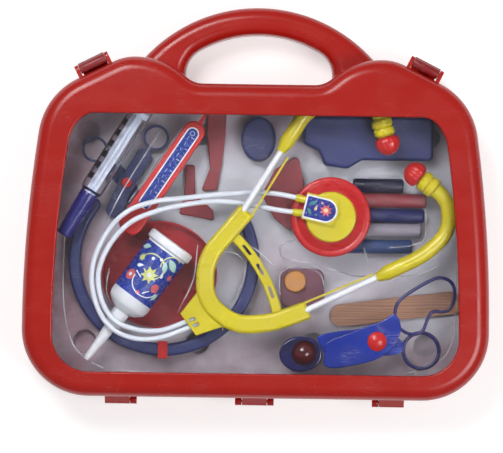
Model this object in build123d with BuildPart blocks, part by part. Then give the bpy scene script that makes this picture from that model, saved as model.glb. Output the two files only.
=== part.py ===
"""A toy doctor case: a red moulded box with a windowed lid, a formed liner, and its play tools.

Lengths are in millimetres. The case lies on its back: +X is right, +Y is towards the handle, and
+Z is out of the window. The origin is the middle of the underside.
"""

import os
from math import atan2, cos, pi, radians, sin, tan

from build123d import *

os.makedirs("parts", exist_ok=True)

# ---- case outline, seen through the window ------------------------------------------------------
HALF_WIDTH = 159.6  # widest point, low on the sides
BOTTOM_Y = -131.2
BOTTOM_ROUND = 46.0
SIDE_ROUND = 937.0  # the sides lean in along one long arc
SIDE_TURN = 8.26  # degrees of that arc
TOP_ROUND = 48.0
SLOPE_ANGLE = 26.5  # of the straight shoulders that carry the latches
SLOPE_LENGTH = 27.0
SHOULDER_ROUND = 34.0
CREST_ROUND = 52.0
CREST_TURN = 42.0  # degrees down from the shoulder's crest
DIP_ROUND = 17.3

# ---- shells -------------------------------------------------------------------------------------
WALL = 2.0
BASE_DEPTH = 34.0  # the parting plane's height
LID_DEPTH = 22.0
BACK_ROUND = 8.0  # outer edge of the back
LID_ROUND = 9.0  # outer edge of the front
SIDE_BAND = 21.0  # width of the frame beside the window
BOTTOM_BAND = 17.0
OPENING_TOP = 62.0
OPENING_ROUND = 13.0
OPENING_EDGE = 1.2
BEZEL_DEPTH = 7.0  # the lip round the window, measured from the front face
SHEET = 1.0  # the window's thickness
SHEET_BORDER = 8.0  # how far the window runs on behind the frame
BEZEL = 1.8  # thickness of that lip
STAKE_SPOTS = [(k + 0.5) / 12 for k in range(12)]  # shares of the way round the opening
STAKE_OUT = 5.0
STAKE_R = 1.6
STAKE_HEAD_R = 2.6
STAKE_HEAD = 1.2
HOLE_GAP = 0.2  # round a stake

# ---- handle -------------------------------------------------------------------------------------
HANDLE_TOP = 136.7
HANDLE_R = 106.0
GRIP_A = 50.5  # half-width of the hand opening
GRIP_B = 27.1
GRIP_Y = 91.0  # its widest line
GRIP_TURN = 60.0  # degrees of the opening's side arcs
HANDLE_BACK = 8.0
HANDLE_FRONT = 32.0
HANDLE_ROUND = 7.5
HANDLE_WALL = 2.4
HANDLE_RIB = 1.6
RIB_COUNT = 9
RIB_ARC = 68.0  # degrees that the ribs span

# ---- hinges and latches -------------------------------------------------------------------------
HINGE_X = 94.0
KNUCKLE_R = 2.8
LID_KNUCKLE = 17.0
BASE_KNUCKLE = 4.5
SIDE_GAP = 0.3  # beside a knuckle, an ear or a barrel
PIN_R = 1.1
WEB_DROP = 8.0  # how far a base knuckle's web runs down the wall
RUN = 0.05  # radial running clearance of a pin
LATCH_PIN_R = 1.5
LATCH_PIN_OUT = 4.9  # out from the wall
LATCH_PIN_UP = 12.0  # up from the parting plane
BARREL_R = 3.4
LATCH_WIDTH = 19.0
EAR = 2.6
FLAP = 2.4
LATCH_LIP_OUT = 9.6
LATCH_DROP = 29.0  # from the pin to the flap's lower edge
CATCH_OUT = 2.9
CATCH_DROP = 10.5  # catch's underside, down from the parting plane
CATCH_HEIGHT = 3.0
HOOK_HEIGHT = 4.0
GRIP_RIBS = 4
GRIP_PITCH = 3.2
GRIP_RIB_R = 0.8
SNAP_GAP = 0.25  # the hook stops this far short of the catch

# ---- liner --------------------------------------------------------------------------------------
LINER_GAP = 1.0  # between the wall and the liner
LINER = 0.9
DECK_Z = 10.0
FILM_Z = 26.0
FILM = 0.6
FOOT_R = 9.0
FOOT_ROUND = 1.5
FEET = [(x, y) for x in (-118, -40, 40, 118) for y in (-95, 50)]
SEAT = 0.3  # clearance under a piece that lies on a surface
EASE = 1.0  # eased edge of turned pieces
FLAT_EDGE = 0.8  # eased edge of flat tools

# ---- bottle, lying with its nozzle towards the lower left corner ---------------------------------
BOTTLE_START = (-57.5, -25.4)
BOTTLE_END = (-116.2, -107.0)
BOTTLE_Z = 28.5
BOTTLE_LENGTH = 100.5
BOTTLE_R = 15.0
FLANGE_R = 17.0
FLANGE_DEEP = 6.5
SHOULDER_LENGTH = 9.0
NECK_LENGTH = 11.0
NECK_R = 6.0
SHOULDER_SHAPE = [(0.35, 0.93), (0.75, 0.66)]  # shares of its length and of the body's radius
NOZZLE_LENGTH = 30.0
NOZZLE_R = 4.2
TIP_R = 2.3
TIP_EASE = 0.6
LABEL_SKIN = 0.3
LABEL_GAP = 1.5  # between the flange and the label
BOTTLE_LABEL = 38.0
FILM_HOLE_GAP = 1.5
FILM_HOLE_ROUND = 3.4

# ---- the dish that the bottle lies in ------------------------------------------------------------
DISH_AT = (-67.0, -48.0)
DISH_A = 40.0
DISH_B = 37.0
DISH_DEEP = 10.0
DISH_WALL = 1.1

# ---- thermometer ---------------------------------------------------------------------------------
THERMO_TOP = (-40.2, 56.6)
THERMO_END = (-90.5, -19.0)
THERMO_LENGTH = 90.8
THERMO_W = 15.0
THERMO_W_END = 17.0
THERMO_THICK = 5.0
THERMO_EDGE = 1.5
THERMO_FLAT = 0.5  # half the straight stretch across each end
THERMO_LABEL_AT = 4.5  # from the top end
THERMO_LABEL = 66.0
THERMO_LABEL_W = 9.2
NUB_LENGTH = 7.0
NUB_R = 1.8

# ---- syringe, nose towards the lower left --------------------------------------------------------
SYRINGE_NOSE = (26.8 - HALF_WIDTH, -21.6)  # it lies along the left side
SYRINGE_END = (74.4 - HALF_WIDTH, 56.6)
SYRINGE_Z = 35.1
NOSE_LENGTH = 34.0
NOSE_TIP_R = 5.2
NOSE_R = 6.4
NOSE_BORE = 4.6
NOSE_BAND = 2.0  # straight end of the nose
NOSE_EASE = 0.8
NOSE_DEEP = 12.0
BARREL_LENGTH = 76.0
SYRINGE_R = 8.0
SYRINGE_WALL = 1.1
BARREL_CONE = 3.0  # from the nose's radius out to the barrel's
BARREL_FLOOR = 1.4
FINGER_W = 26.0
FINGER_THICK = 2.0
BAR_W = 7.4
BAR_WEB = 1.6
THUMB_OUT = 11.0  # thumb plate beyond the flange at rest
THUMB_W = 18.0
GUIDE_BACK = 14.0
GUIDE_THICK = 4.0
MARKS = 6
MARK_FIRST = 9.0
MARK_PITCH = 8.6
MARK_LENGTH = 4.6
MARK_FROM = 28.0  # degrees up from the left
MARK_SWEEP = 34.0

# ---- stethoscope ---------------------------------------------------------------------------------
YOKE = [(-7.0, -3.0), (-35.0, -36.5), (-35.0, -66.0), (-14.0, -82.0), (11.0, -80.0), (36.0, -70.5)]
YOKE_RADII = [36.0, 24.0, 29.0, 70.0]
YOKE_W = 12.6
YOKE_THICK = 10.6
YOKE_EDGE = 3.0
STRAP = [(-16.0, -20.0), (4.0, -45.5), (14.8, -73.0)]
STRAP_W = 7.0
CLIP_HIGH = (-51.9, -74.3)
CLIP_LOW = (-40.8, -89.4)
CLIP_PLATE = [CLIP_HIGH, CLIP_LOW, (-22.5, -83.1), (-30.0, -70.0), (-40.0, -59.0)]
CLIP_THICK = 8.5
CLIP_EDGE = 1.0
STRAP_LOW = 29.5
STRAP_THICK = 5.0
STRAP_SLOTS = (0.22, 0.48, 0.76)
SLOT_LENGTH = 9.0
SLOT_W = 2.0
HOSE_R = 1.75
CLIP_DEEP = 22.0  # the bore's run, out past the clip's edge
CLIP_SLOT = 5.0
HOSE_ROOM_AT = (-5.5, 1.5)
HOSE_ROOM = 14.0
HOSE_ROOM_HIGH = 4.6
ROD_R = 2.1
ROD_Z = 35.2
SOCKET_DEEP = 9.0
RIB_W = 1.3
RIB_HIGH = 2.6
RIB_Z = 34.4
# each arm: the rod's start and end, then the rib's start and end
UPPER_ARM = ((-8.6, -1.5), (15.7, 37.8), (-5.4, -9.4), (20.8, 34.2))
LOWER_ARM = ((34.0, -71.2), (82.7, -47.7), (26.0, -69.0), (80.2, -45.4))
EAR_Z = ROD_Z
EAR_R = 5.2
TAPER = 8.0
TAPER_WALL = 1.0
COLLAR_R = 7.2
COLLAR_BACK = 9.5
EAR_UPPER_RUN = 33.0  # from the rod's end to the first bend
EAR_UPPER = [(60.0, 78.0), (81.5, 68.5), (87.5, 49.0)]
EAR_UPPER_RADII = [30.0, 27.0, 14.0]
EAR_LOWER_RUN = 35.0
EAR_LOWER = [(132.8, -15.5), (130.5, 6.5), (112.0, 20.8)]
EAR_LOWER_RADII = [60.0, 23.0, 19.0]
TIP_GAP = 0.3
DOME_R = 8.4
DOME_LIP = 2.0
DOME_DEEP = 12.5
CHEST_AT = (50.6, -6.6)
BELL_R = 27.4
BELL_EDGE = 2.6
BELL_THICK = 6.4
BELL_BEAD = [(1.0, 1.0), (2.5, 1.2), (4.0, 0.6)]  # in from the rim and up from its edge
CAP_STEP = 1.0
DIAPHRAGM = 0.8
CAP_R = 17.4
CAP_THICK = 3.2
LABEL_AT = (43.6, -1.6)
LABEL_TURN = -13.0  # degrees
LABEL_LENGTH = 23.0
LABEL_W = 16.5
BLOCK_THICK = 6.0
BLOCK_RIM = 1.0  # round the label
STUB_CUP = 3.0  # of hose inside a stub
STUB_R = 2.6
STUB_LENGTH = 5.0
BEND_SHARE = 0.45  # of a hose run, taken by each bend
# the hoses' routes, chosen by hand: out of a stub, under the upper arm, over the thermometer,
# round to the left, over the bottle's nozzle and into the clip
HOSE_OUTER = [
    (29.6, 5.7, 35.6), (18.5, 8.3, 34.3), (4.5, 9.7, 29.3), (-14.0, 9.0, 28.7), (-33.0, 7.2, 28.9),
    (-52.0, 4.7, 31.4), (-71.0, 2.7, 37.9), (-91.0, -4.6, 38.2), (-105.6, -22.0, 37.0),
    (-114.0, -45.0, 36.6), (-110.6, -68.5, 37.4), (-100.0, -85.5, 38.4), (-83.5, -92.6, 37.9),
    (-66.0, -92.0, 34.0), (-50.5, -85.9, 31.2), (-37.6, -80.6, 31.0),
]
HOSE_INNER = [
    (27.6, -3.9, 35.6), (16.5, -2.7, 34.3), (3.0, -0.3, 29.3), (-14.0, 2.6, 28.7), (-32.0, 3.2, 28.9),
    (-50.0, 0.4, 31.6), (-67.0, -3.4, 37.8), (-85.5, -13.2, 38.2), (-100.2, -28.6, 37.0),
    (-109.0, -47.5, 36.6), (-105.8, -65.8, 37.4), (-95.6, -79.6, 38.4), (-80.5, -86.4, 37.8),
    (-65.5, -86.9, 33.6), (-52.6, -82.1, 31.2), (-40.2, -76.9, 31.0),
]

# ---- scissors, handles to the right --------------------------------------------------------------
PIVOT_AT = (83.7, -91.6)
PIVOT_BOSS_R = 10.5
BLADE_THICK = 2.4
RIVET_R = 3.2
RIVET_HEAD_R = 6.6
RIVET_HEAD = 3.4
RIVET_FLAT = 1.0
LOOP_WIRE = 2.4
LOOP_CORNER = 5.0
LOOP_LOW_AT = (114.2, -97.6)
LOOP_LOW_R = 12.3
LOOP_HIGH = [
    (96.0, -80.0), (98.0, -64.0), (121.0, -45.0), (137.0, -49.5), (136.0, -67.5), (120.5, -73.5),
    (113.5, -85.0),
]
BLADE_LOWER = [
    (47.5, -88.0), (66.0, -84.5), (84.0, -82.0), (97.0, -89.0), (103.5, -93.0), (103.5, -101.5),
    (93.0, -99.0), (75.0, -99.5), (52.0, -99.0),
]
BLADE_UPPER = [
    (50.0, -94.0), (58.0, -108.0), (75.0, -104.8), (92.0, -97.0), (99.5, -80.0), (97.0, -72.0),
    (96.0, -78.0), (87.0, -77.0), (70.0, -88.0),
]

# ---- mirror, left of the scissors' blades --------------------------------------------------------
CUP_AT = (31.4, -101.0)
CUP_A = 14.8
CUP_B = 12.2
CUP_THICK = 7.0
CUP_FLOOR = 1.6
CUP_RIM = 1.8
CUP_EDGE = 1.5
DOME_AT = (33.6, -100.4)
RED_DOME_R = 8.6
DOME_HIGH = 6.6
DOME_FOOT = 0.8

# ---- forceps -------------------------------------------------------------------------------------
FORCEPS_THICK = 2.6
FORCEPS_W = 11.0
FORCEPS_SHANK = 4.0
FORCEPS_PIVOT = (-90.4, 15.0)
FORCEPS_RING_LEFT = (-113.0, 38.0)
FORCEPS_ELBOW_LEFT = (-103.0, 28.0)
FORCEPS_TIP_RIGHT = (-82.0, -4.0)
FORCEPS_RING_RIGHT = (-70.5, 46.5)
FORCEPS_ELBOW_RIGHT = (-79.0, 33.5)
FORCEPS_TIP_LEFT = (-99.0, -4.0)
FORCEPS_BEND = 12.0
FORCEPS_RING_R = 9.0
FORCEPS_BOSS_R = 6.6
FORCEPS_WIRE = 1.8
FORCEPS_RIVET_R = 2.4
FORCEPS_HEAD_R = 3.6
FORCEPS_HEAD = 1.6

# ---- headband, open at the top -------------------------------------------------------------------
BAND_AT = (-63.8, -38.2)
BAND_R = 66.0
BAND_W = 8.6
BAND_HIGH = 11.0
BAND_FROM = 142.0  # degrees
BAND_SWEEP = 246.0
BAND_CLIP_W = 6.5
BAND_CLIP_WALL = 1.4
BAND_CLIP_HOOK = 5.0

# ---- otoscope ------------------------------------------------------------------------------------
SCOPE = [
    (31.0, 63.0), (31.0, 44.0), (42.0, 39.0), (46.0, 29.0), (62.0, 27.0), (72.0, 33.0), (121.0, 33.0),
    (121.0, 63.0),
]
SCOPE_ROUND = 4.0
SCOPE_THICK = 13.0
SCOPE_EDGE = 2.5
SCOPE_CUP_AT = (0.3, 46.5)
SCOPE_CUP_A = 12.0
SCOPE_CUP_B = 15.5
SCOPE_CUP_HIGH = 12.0

# ---- flat red tools ------------------------------------------------------------------------------
FLAT_THICK = 3.4
HAMMER_THICK = 9.0
TOOL_CORNER = 1.5
HAMMER_CORNER = 3.0
TWEEZERS = [
    (-35.0, 66.0), (-35.5, 50.0), (-33.0, 26.0), (-39.0, 10.0), (-28.0, 11.0), (-25.0, 28.0),
    (-22.5, 50.0), (-22.0, 66.0),
]
PROBE = [
    (-50.0, 28.0), (-50.5, 8.0), (-54.0, -6.0), (-30.0, -10.0), (-30.5, -3.0), (-43.0, 8.0), (-43.5, 28.0),
]
HAMMER = [
    (3.0, 8.0), (12.0, 26.0), (28.0, 36.0), (32.0, 16.0), (31.0, -12.0), (22.0, -16.0), (12.0, -8.0),
]
# name, low X, high X, middle Y, radius
ROUNDS = [
    ("hammer_handle", 33.5, 117.0, 5.4, 4.9),
    ("vial_navy", 66.0, 101.0, 15.6, 4.9),
    ("vial_indigo", 62.0, 115.5, -5.0, 4.9),
    ("vial_grey", 62.0, 113.5, -15.2, 4.9),
    ("vial_slate", 60.0, 107.5, -26.6, 4.9),
]

# ---- pill and tongue depressor -------------------------------------------------------------------
PILL_DISH_AT = (32.0, -56.0)
PILL_DISH_W = 30.0
PILL_DISH_H = 27.0
PILL_DISH_ROUND = 6.0
PILL_DISH_THICK = 8.0
PILL_DISH_EDGE = 1.2
PILL_AT = (27.0, -51.3)
PILL_R = 7.6
PILL_SUNK = 2.0
PILL_THICK = 6.0
PILL_EDGE = 1.5
STICK_START = (52.0, -75.5)
STICK_END = (124.8, -66.0)
STICK_LENGTH = 92.0
STICK_W = 15.5
STICK_THICK = 3.0

PARTING = BASE_DEPTH
FRONT = BASE_DEPTH + LID_DEPTH
HINGE_Y = -HANDLE_TOP + KNUCKLE_R
WINDOW_TOP = FRONT - BEZEL_DEPTH
WINDOW_Z = WINDOW_TOP - SHEET
PIN_Z = PARTING + LATCH_PIN_UP
ON_DECK = DECK_Z + SEAT
ON_FILM = FILM_Z + FILM + SEAT

# ---- outline and opening ------------------------------------------------------------------------
with BuildSketch() as outline:
    with BuildLine():
        floor_edge = Line((0, BOTTOM_Y), (HALF_WIDTH - BOTTOM_ROUND, BOTTOM_Y))
        low_corner = JernArc(floor_edge @ 1, floor_edge % 1, BOTTOM_ROUND, 90)
        side = JernArc(low_corner @ 1, low_corner % 1, SIDE_ROUND, SIDE_TURN)
        top_turn = 90 - SIDE_TURN - SLOPE_ANGLE
        high_corner = JernArc(side @ 1, side % 1, TOP_ROUND, top_turn)
        slope = Line(high_corner @ 1, high_corner @ 1 + (high_corner % 1) * SLOPE_LENGTH)
        shoulder = JernArc(slope @ 1, slope % 1, SHOULDER_ROUND, SLOPE_ANGLE)
        crest = JernArc(shoulder @ 1, shoulder % 1, CREST_ROUND, CREST_TURN)
        dip = JernArc(crest @ 1, crest % 1, DIP_ROUND, -CREST_TURN)
        Line(dip @ 1, (0, (dip @ 1).Y))
        mirror(about=Plane.YZ)
    make_face()
TOP_Y = (dip @ 1).Y
slope_middle = slope @ 0.5


def inset(distance):
    """The outline drawn in by distance."""
    return offset(outline.sketch, amount=-distance, mode=Mode.PRIVATE)


with BuildSketch() as opening:
    with Locations((0, BOTTOM_BAND - SIDE_BAND)):
        add(inset(SIDE_BAND))
    # the upper edge runs straight on across the dip
    Rectangle(2 * GRIP_A + 2 * DIP_ROUND, 2 * OPENING_TOP)
    with Locations((0, OPENING_TOP)):
        Rectangle(4 * HALF_WIDTH, 4 * HALF_WIDTH, align=(Align.CENTER, Align.MAX), mode=Mode.INTERSECT)
    fillet(opening.vertices().group_by(Axis.Y)[-1], OPENING_ROUND)


def seat_plane(hand):
    """Across a latch: local x runs out from the wall and local y runs up."""
    angle = radians(SLOPE_ANGLE)
    middle = (hand * slope_middle.X, slope_middle.Y, 0)
    return Plane(middle, (hand * sin(angle), cos(angle), 0), (cos(angle), -hand * sin(angle), 0))


def knuckles():
    """(middle, half-width, owner) of each knuckle on the hinge line."""
    half = LID_KNUCKLE / 2
    step = half + SIDE_GAP + BASE_KNUCKLE / 2
    found = [(x, half, "lid") for x in (-HINGE_X, 0, HINGE_X)]
    for x in (-HINGE_X + step, -step, step, HINGE_X - step):
        found.append((x, BASE_KNUCKLE / 2, "base"))
    return found


def hinge_plane(x):
    """Across the hinge line at x: local x is -Y, so that local y is +Z."""
    return Plane((x, HINGE_Y, PARTING), (0, 1, 0), (1, 0, 0))


# ---- base shell ---------------------------------------------------------------------------------
with BuildPart() as base_hollow:
    with BuildSketch(Plane.XY.offset(WALL)):
        add(inset(WALL))
    extrude(amount=BASE_DEPTH)
    fillet(base_hollow.edges().group_by(Axis.Z)[0], BACK_ROUND - WALL)

# the hand opening is an arch of three arcs: a large one on top and a small one at each side
spring_sin, spring_cos = sin(radians(GRIP_TURN)), cos(radians(GRIP_TURN))
flat_share = (1 - spring_sin) / spring_cos
grip_small = (GRIP_B - GRIP_A * flat_share) / (spring_sin - (1 - spring_cos) * flat_share)
grip_large = (GRIP_A - grip_small * (1 - spring_cos)) / spring_cos

with BuildPart() as handle_ring:
    with BuildSketch(Plane.XY.offset(HANDLE_BACK)) as ring_shape:
        with Locations((0, HANDLE_TOP - HANDLE_R)):
            Circle(HANDLE_R)
        with BuildLine():
            post = Line((GRIP_A, GRIP_Y - GRIP_B), (GRIP_A, GRIP_Y))
            haunch = JernArc(post @ 1, post % 1, grip_small, GRIP_TURN)
            JernArc(haunch @ 1, haunch % 1, grip_large, 90 - GRIP_TURN)
            mirror(about=Plane.YZ)
            Line(post @ 0, (-GRIP_A, GRIP_Y - GRIP_B))
        make_face(mode=Mode.SUBTRACT)
        with Locations((0, TOP_Y)):
            Rectangle(3 * HANDLE_R, 2 * HANDLE_R, align=(Align.CENTER, Align.MAX), mode=Mode.SUBTRACT)
    extrude(amount=HANDLE_FRONT - HANDLE_BACK)
    front_rim = handle_ring.edges().group_by(Axis.Z)[-1].filter_by(GeomType.LINE, reverse=True)
    fillet(front_rim, HANDLE_ROUND)

with BuildPart() as handle_pocket:
    with BuildSketch(Plane.XY.offset(HANDLE_BACK)):
        add(offset(ring_shape.sketch, amount=-HANDLE_WALL, mode=Mode.PRIVATE))
        add(outline.sketch, mode=Mode.SUBTRACT)
        with PolarLocations(HANDLE_R, RIB_COUNT, 90 - RIB_ARC / 2, RIB_ARC):
            Rectangle(HANDLE_R, HANDLE_RIB, mode=Mode.SUBTRACT)
    extrude(amount=HANDLE_FRONT - HANDLE_BACK - HANDLE_WALL)

with BuildPart() as base_shell:
    with BuildSketch():
        add(outline)
    extrude(amount=BASE_DEPTH)
    fillet(base_shell.edges().group_by(Axis.Z)[0], BACK_ROUND)
    add(handle_ring.part)
    add(handle_pocket.part, mode=Mode.SUBTRACT)
    add(base_hollow.part, mode=Mode.SUBTRACT)
    # hinge knuckles, each with a web down the wall
    for x, half, owner in knuckles():
        if owner == "base":
            with BuildSketch(hinge_plane(x)):
                Circle(KNUCKLE_R)
                with BuildLine():
                    Polyline(
                        (-KNUCKLE_R * cos(radians(30)), -KNUCKLE_R / 2),
                        (BOTTOM_Y - HINGE_Y + WALL / 2, -WEB_DROP),
                        (BOTTOM_Y - HINGE_Y + WALL / 2, 0),
                        (0, 0),
                        close=True,
                    )
                make_face()
            extrude(amount=half, both=True)
            with BuildSketch(hinge_plane(x)):
                Circle(PIN_R + RUN)
            extrude(amount=half, both=True, mode=Mode.SUBTRACT)
        else:
            with BuildSketch(hinge_plane(x)):
                Circle(KNUCKLE_R + SIDE_GAP)
            extrude(amount=half + SIDE_GAP, both=True, mode=Mode.SUBTRACT)
    # a catch under each latch, with a sloping top for the hook to ride over
    for hand in (-1, 1):
        with BuildSketch(seat_plane(hand)):
            with BuildLine():
                low = PARTING - CATCH_DROP
                Polyline(
                    (-WALL / 2, low),
                    (CATCH_OUT, low),
                    (CATCH_OUT, low + CATCH_HEIGHT / 3),
                    (0, low + CATCH_HEIGHT),
                    (-WALL / 2, low + CATCH_HEIGHT),
                    close=True,
                )
            make_face()
        extrude(amount=LATCH_WIDTH / 2 - SIDE_GAP, both=True)
base_shell.part.label = "base_shell"
export_step(base_shell.part, "parts/base_shell.step")

# ---- lid frame ----------------------------------------------------------------------------------
with BuildPart() as lid_hollow:
    with BuildSketch(Plane.XY.offset(PARTING)):
        add(inset(WALL))
    extrude(amount=LID_DEPTH - WALL)
    fillet(lid_hollow.edges().group_by(Axis.Z)[-1], LID_ROUND - WALL)

stake_points = []
opening_rim = opening.sketch.face().outer_wire()
for t in STAKE_SPOTS:
    edge_point = opening_rim.position_at(t)
    along = opening_rim.tangent_at(t)
    outward = Vector(along.Y, -along.X, 0)
    if outward.dot(edge_point) < 0:
        outward = -outward
    stake_points.append(edge_point + outward * STAKE_OUT)

with BuildPart() as lid_frame:
    with BuildSketch(Plane.XY.offset(PARTING)):
        add(outline)
    extrude(amount=LID_DEPTH)
    fillet(lid_frame.edges().group_by(Axis.Z)[-1], LID_ROUND)
    add(lid_hollow.part, mode=Mode.SUBTRACT)
    with BuildSketch(Plane.XY.offset(WINDOW_TOP)):
        offset(opening.sketch, amount=BEZEL)
    extrude(amount=BEZEL_DEPTH - WALL)
    with BuildSketch(Plane.XY.offset(WINDOW_TOP)):
        add(opening)
    extrude(amount=BEZEL_DEPTH, mode=Mode.SUBTRACT)
    front_face = lid_frame.faces().sort_by(Axis.Z)[-1]
    fillet(front_face.inner_wires()[0].edges(), OPENING_EDGE)
    # stakes that hold the window, with their heads formed over
    for point in stake_points:
        with BuildSketch(Plane.XY.offset(WINDOW_Z - STAKE_HEAD)):
            with Locations(point):
                Circle(STAKE_R)
        extrude(amount=FRONT - WALL - WINDOW_Z + STAKE_HEAD)
        with BuildSketch(Plane.XY.offset(WINDOW_Z - STAKE_HEAD)):
            with Locations(point):
                Circle(STAKE_HEAD_R)
        extrude(amount=STAKE_HEAD)
    # hinge knuckles
    for x, half, owner in knuckles():
        if owner == "lid":
            with BuildSketch(hinge_plane(x)):
                Circle(KNUCKLE_R)
                with BuildLine():
                    Polyline(
                        (-KNUCKLE_R * cos(radians(30)), KNUCKLE_R / 2),
                        (BOTTOM_Y - HINGE_Y + WALL / 2, WEB_DROP),
                        (BOTTOM_Y - HINGE_Y + WALL / 2, 0),
                        (0, 0),
                        close=True,
                    )
                make_face()
            extrude(amount=half, both=True)
            with BuildSketch(hinge_plane(x)):
                Circle(PIN_R + RUN)
            extrude(amount=half, both=True, mode=Mode.SUBTRACT)
        else:
            with BuildSketch(hinge_plane(x)):
                Circle(KNUCKLE_R + SIDE_GAP)
            extrude(amount=half + SIDE_GAP, both=True, mode=Mode.SUBTRACT)
    # two ears for each latch
    for hand in (-1, 1):
        seat = seat_plane(hand)
        for end in (-1, 1):
            with BuildSketch(seat.offset(end * (LATCH_WIDTH / 2 + SIDE_GAP + EAR / 2))):
                with Locations((LATCH_PIN_OUT, PIN_Z)):
                    Circle(BARREL_R)
                    Circle(LATCH_PIN_R + RUN, mode=Mode.SUBTRACT)
                with BuildLine():
                    Polyline(
                        (LATCH_PIN_OUT, PIN_Z + BARREL_R),
                        (-WALL / 2, PIN_Z + BARREL_R),
                        (-WALL / 2, PIN_Z - 2 * BARREL_R),
                        (LATCH_PIN_OUT, PIN_Z - BARREL_R),
                        close=True,
                    )
                make_face()
                with Locations((LATCH_PIN_OUT, PIN_Z)):
                    Circle(LATCH_PIN_R + RUN, mode=Mode.SUBTRACT)
            extrude(amount=EAR / 2, both=True)
lid_frame.part.label = "lid_frame"
export_step(lid_frame.part, "parts/lid_frame.step")

# ---- window -------------------------------------------------------------------------------------
with BuildPart() as window_sheet:
    with BuildSketch(Plane.XY.offset(WINDOW_Z)):
        offset(opening.sketch, amount=SHEET_BORDER)
        with Locations(*stake_points):
            Circle(STAKE_R + HOLE_GAP, mode=Mode.SUBTRACT)
    extrude(amount=SHEET)
window_sheet.part.label = "window_sheet"
export_step(window_sheet.part, "parts/window_sheet.step")

# ---- hinge pins ---------------------------------------------------------------------------------
with BuildPart() as hinge_pins:
    for x in (-HINGE_X, 0, HINGE_X):
        reach = LID_KNUCKLE / 2 + SIDE_GAP + BASE_KNUCKLE
        low_end = x - (LID_KNUCKLE / 2 if x < 0 else reach)
        high_end = x + (LID_KNUCKLE / 2 if x > 0 else reach)
        with BuildSketch(hinge_plane(low_end)):
            Circle(PIN_R)
        extrude(amount=high_end - low_end)
hinge_pins.part.label = "hinge_pins"
export_step(hinge_pins.part, "parts/hinge_pins.step")

# ---- latches ------------------------------------------------------------------------------------
with BuildPart() as latch_pins:
    for hand in (-1, 1):
        with BuildSketch(seat_plane(hand)):
            with Locations((LATCH_PIN_OUT, PIN_Z)):
                Circle(LATCH_PIN_R)
        extrude(amount=LATCH_WIDTH / 2 + SIDE_GAP + EAR, both=True)
latch_pins.part.label = "latch_pins"
export_step(latch_pins.part, "parts/latch_pins.step")

for hand, name in ((-1, "latch_left"), (1, "latch_right")):
    seat = seat_plane(hand)
    flap_in = LATCH_PIN_OUT + BARREL_R - FLAP
    flap_low = PIN_Z - LATCH_DROP
    hook_in = CATCH_OUT + SNAP_GAP
    hook_top = PARTING - CATCH_DROP + CATCH_HEIGHT / 3
    with BuildPart() as latch:
        with BuildSketch(seat):
            with BuildLine():
                Polyline(
                    (LATCH_PIN_OUT, PIN_Z),
                    (flap_in, PIN_Z - BARREL_R),
                    (flap_in, hook_top),
                    (hook_in, hook_top - HOOK_HEIGHT / 3),
                    (hook_in, hook_top - HOOK_HEIGHT),
                    (flap_in + FLAP / 2, hook_top - HOOK_HEIGHT - FLAP / 2),
                    (LATCH_LIP_OUT - FLAP, flap_low),
                    (LATCH_LIP_OUT, flap_low),
                    (LATCH_PIN_OUT + BARREL_R, hook_top),
                    (LATCH_PIN_OUT + BARREL_R, PIN_Z),
                    close=True,
                )
            make_face()
            with Locations((LATCH_PIN_OUT, PIN_Z)):
                Circle(BARREL_R)
            # grip ribs down the outside
            for k in range(GRIP_RIBS):
                with Locations((LATCH_PIN_OUT + BARREL_R, PIN_Z - BARREL_R - k * GRIP_PITCH)):
                    Circle(GRIP_RIB_R)
            with Locations((LATCH_PIN_OUT, PIN_Z)):
                Circle(LATCH_PIN_R + RUN, mode=Mode.SUBTRACT)
        extrude(amount=LATCH_WIDTH / 2, both=True)
    latch.part.label = name
    export_step(latch.part, "parts/" + name + ".step")

# ---- liner and film -----------------------------------------------------------------------------
with BuildPart() as inner_tray:
    with BuildSketch(Plane.XY.offset(DECK_Z - LINER)):
        add(inset(WALL + LINER_GAP))
    extrude(amount=FILM_Z - SEAT - DECK_Z + LINER)
    with BuildSketch(Plane.XY.offset(DECK_Z)):
        add(inset(WALL + LINER_GAP + LINER))
    extrude(amount=FILM_Z, mode=Mode.SUBTRACT)
    # feet: cups that stand on the back of the case
    with BuildSketch(Plane.XY.offset(WALL + SEAT)):
        with Locations(*FEET):
            Circle(FOOT_R)
    extrude(amount=DECK_Z - LINER - WALL - SEAT)
    with BuildSketch(Plane.XY.offset(WALL + SEAT + LINER)):
        with Locations(*FEET):
            Circle(FOOT_R - LINER)
    extrude(amount=DECK_Z, mode=Mode.SUBTRACT)
    fillet(inner_tray.edges().group_by(Axis.Z)[0], FOOT_ROUND)
inner_tray.part.label = "inner_tray"
export_step(inner_tray.part, "parts/inner_tray.step")


def lying(start, end, height):
    """A level plane from start towards end: local x runs along the piece, local y to its left."""
    return Plane((start[0], start[1], height), (end[0] - start[0], end[1] - start[1], 0), (0, 0, 1))


bottle_line = lying(BOTTLE_START, BOTTLE_END, BOTTLE_Z)
with BuildPart() as clear_blister:
    with BuildSketch(Plane.XY.offset(FILM_Z)):
        add(inset(WALL + LINER_GAP))
    extrude(amount=FILM)
    with BuildSketch(bottle_line.offset(FILM_Z - BOTTLE_Z)):
        with Locations((BOTTLE_LENGTH / 2, 0)):
            hole = (BOTTLE_LENGTH + 2 * FILM_HOLE_GAP, 2 * (FLANGE_R + FILM_HOLE_GAP))
            RectangleRounded(*hole, FILM_HOLE_ROUND)
    extrude(amount=FILM, mode=Mode.SUBTRACT)
clear_blister.part.label = "clear_blister"
export_step(clear_blister.part, "parts/clear_blister.step")


def turned(plane, profile):
    """The (along, radius) profile turned about the plane's local x."""
    with BuildPart() as made:
        with BuildSketch(plane):
            with BuildLine():
                Polyline(*profile, close=True)
            make_face()
        revolve(axis=Axis(plane.origin, plane.x_dir))
    return made


def keep(piece, name):
    """Names a finished piece and writes it."""
    piece.part.label = name
    export_step(piece.part, "parts/" + name + ".step")


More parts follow.
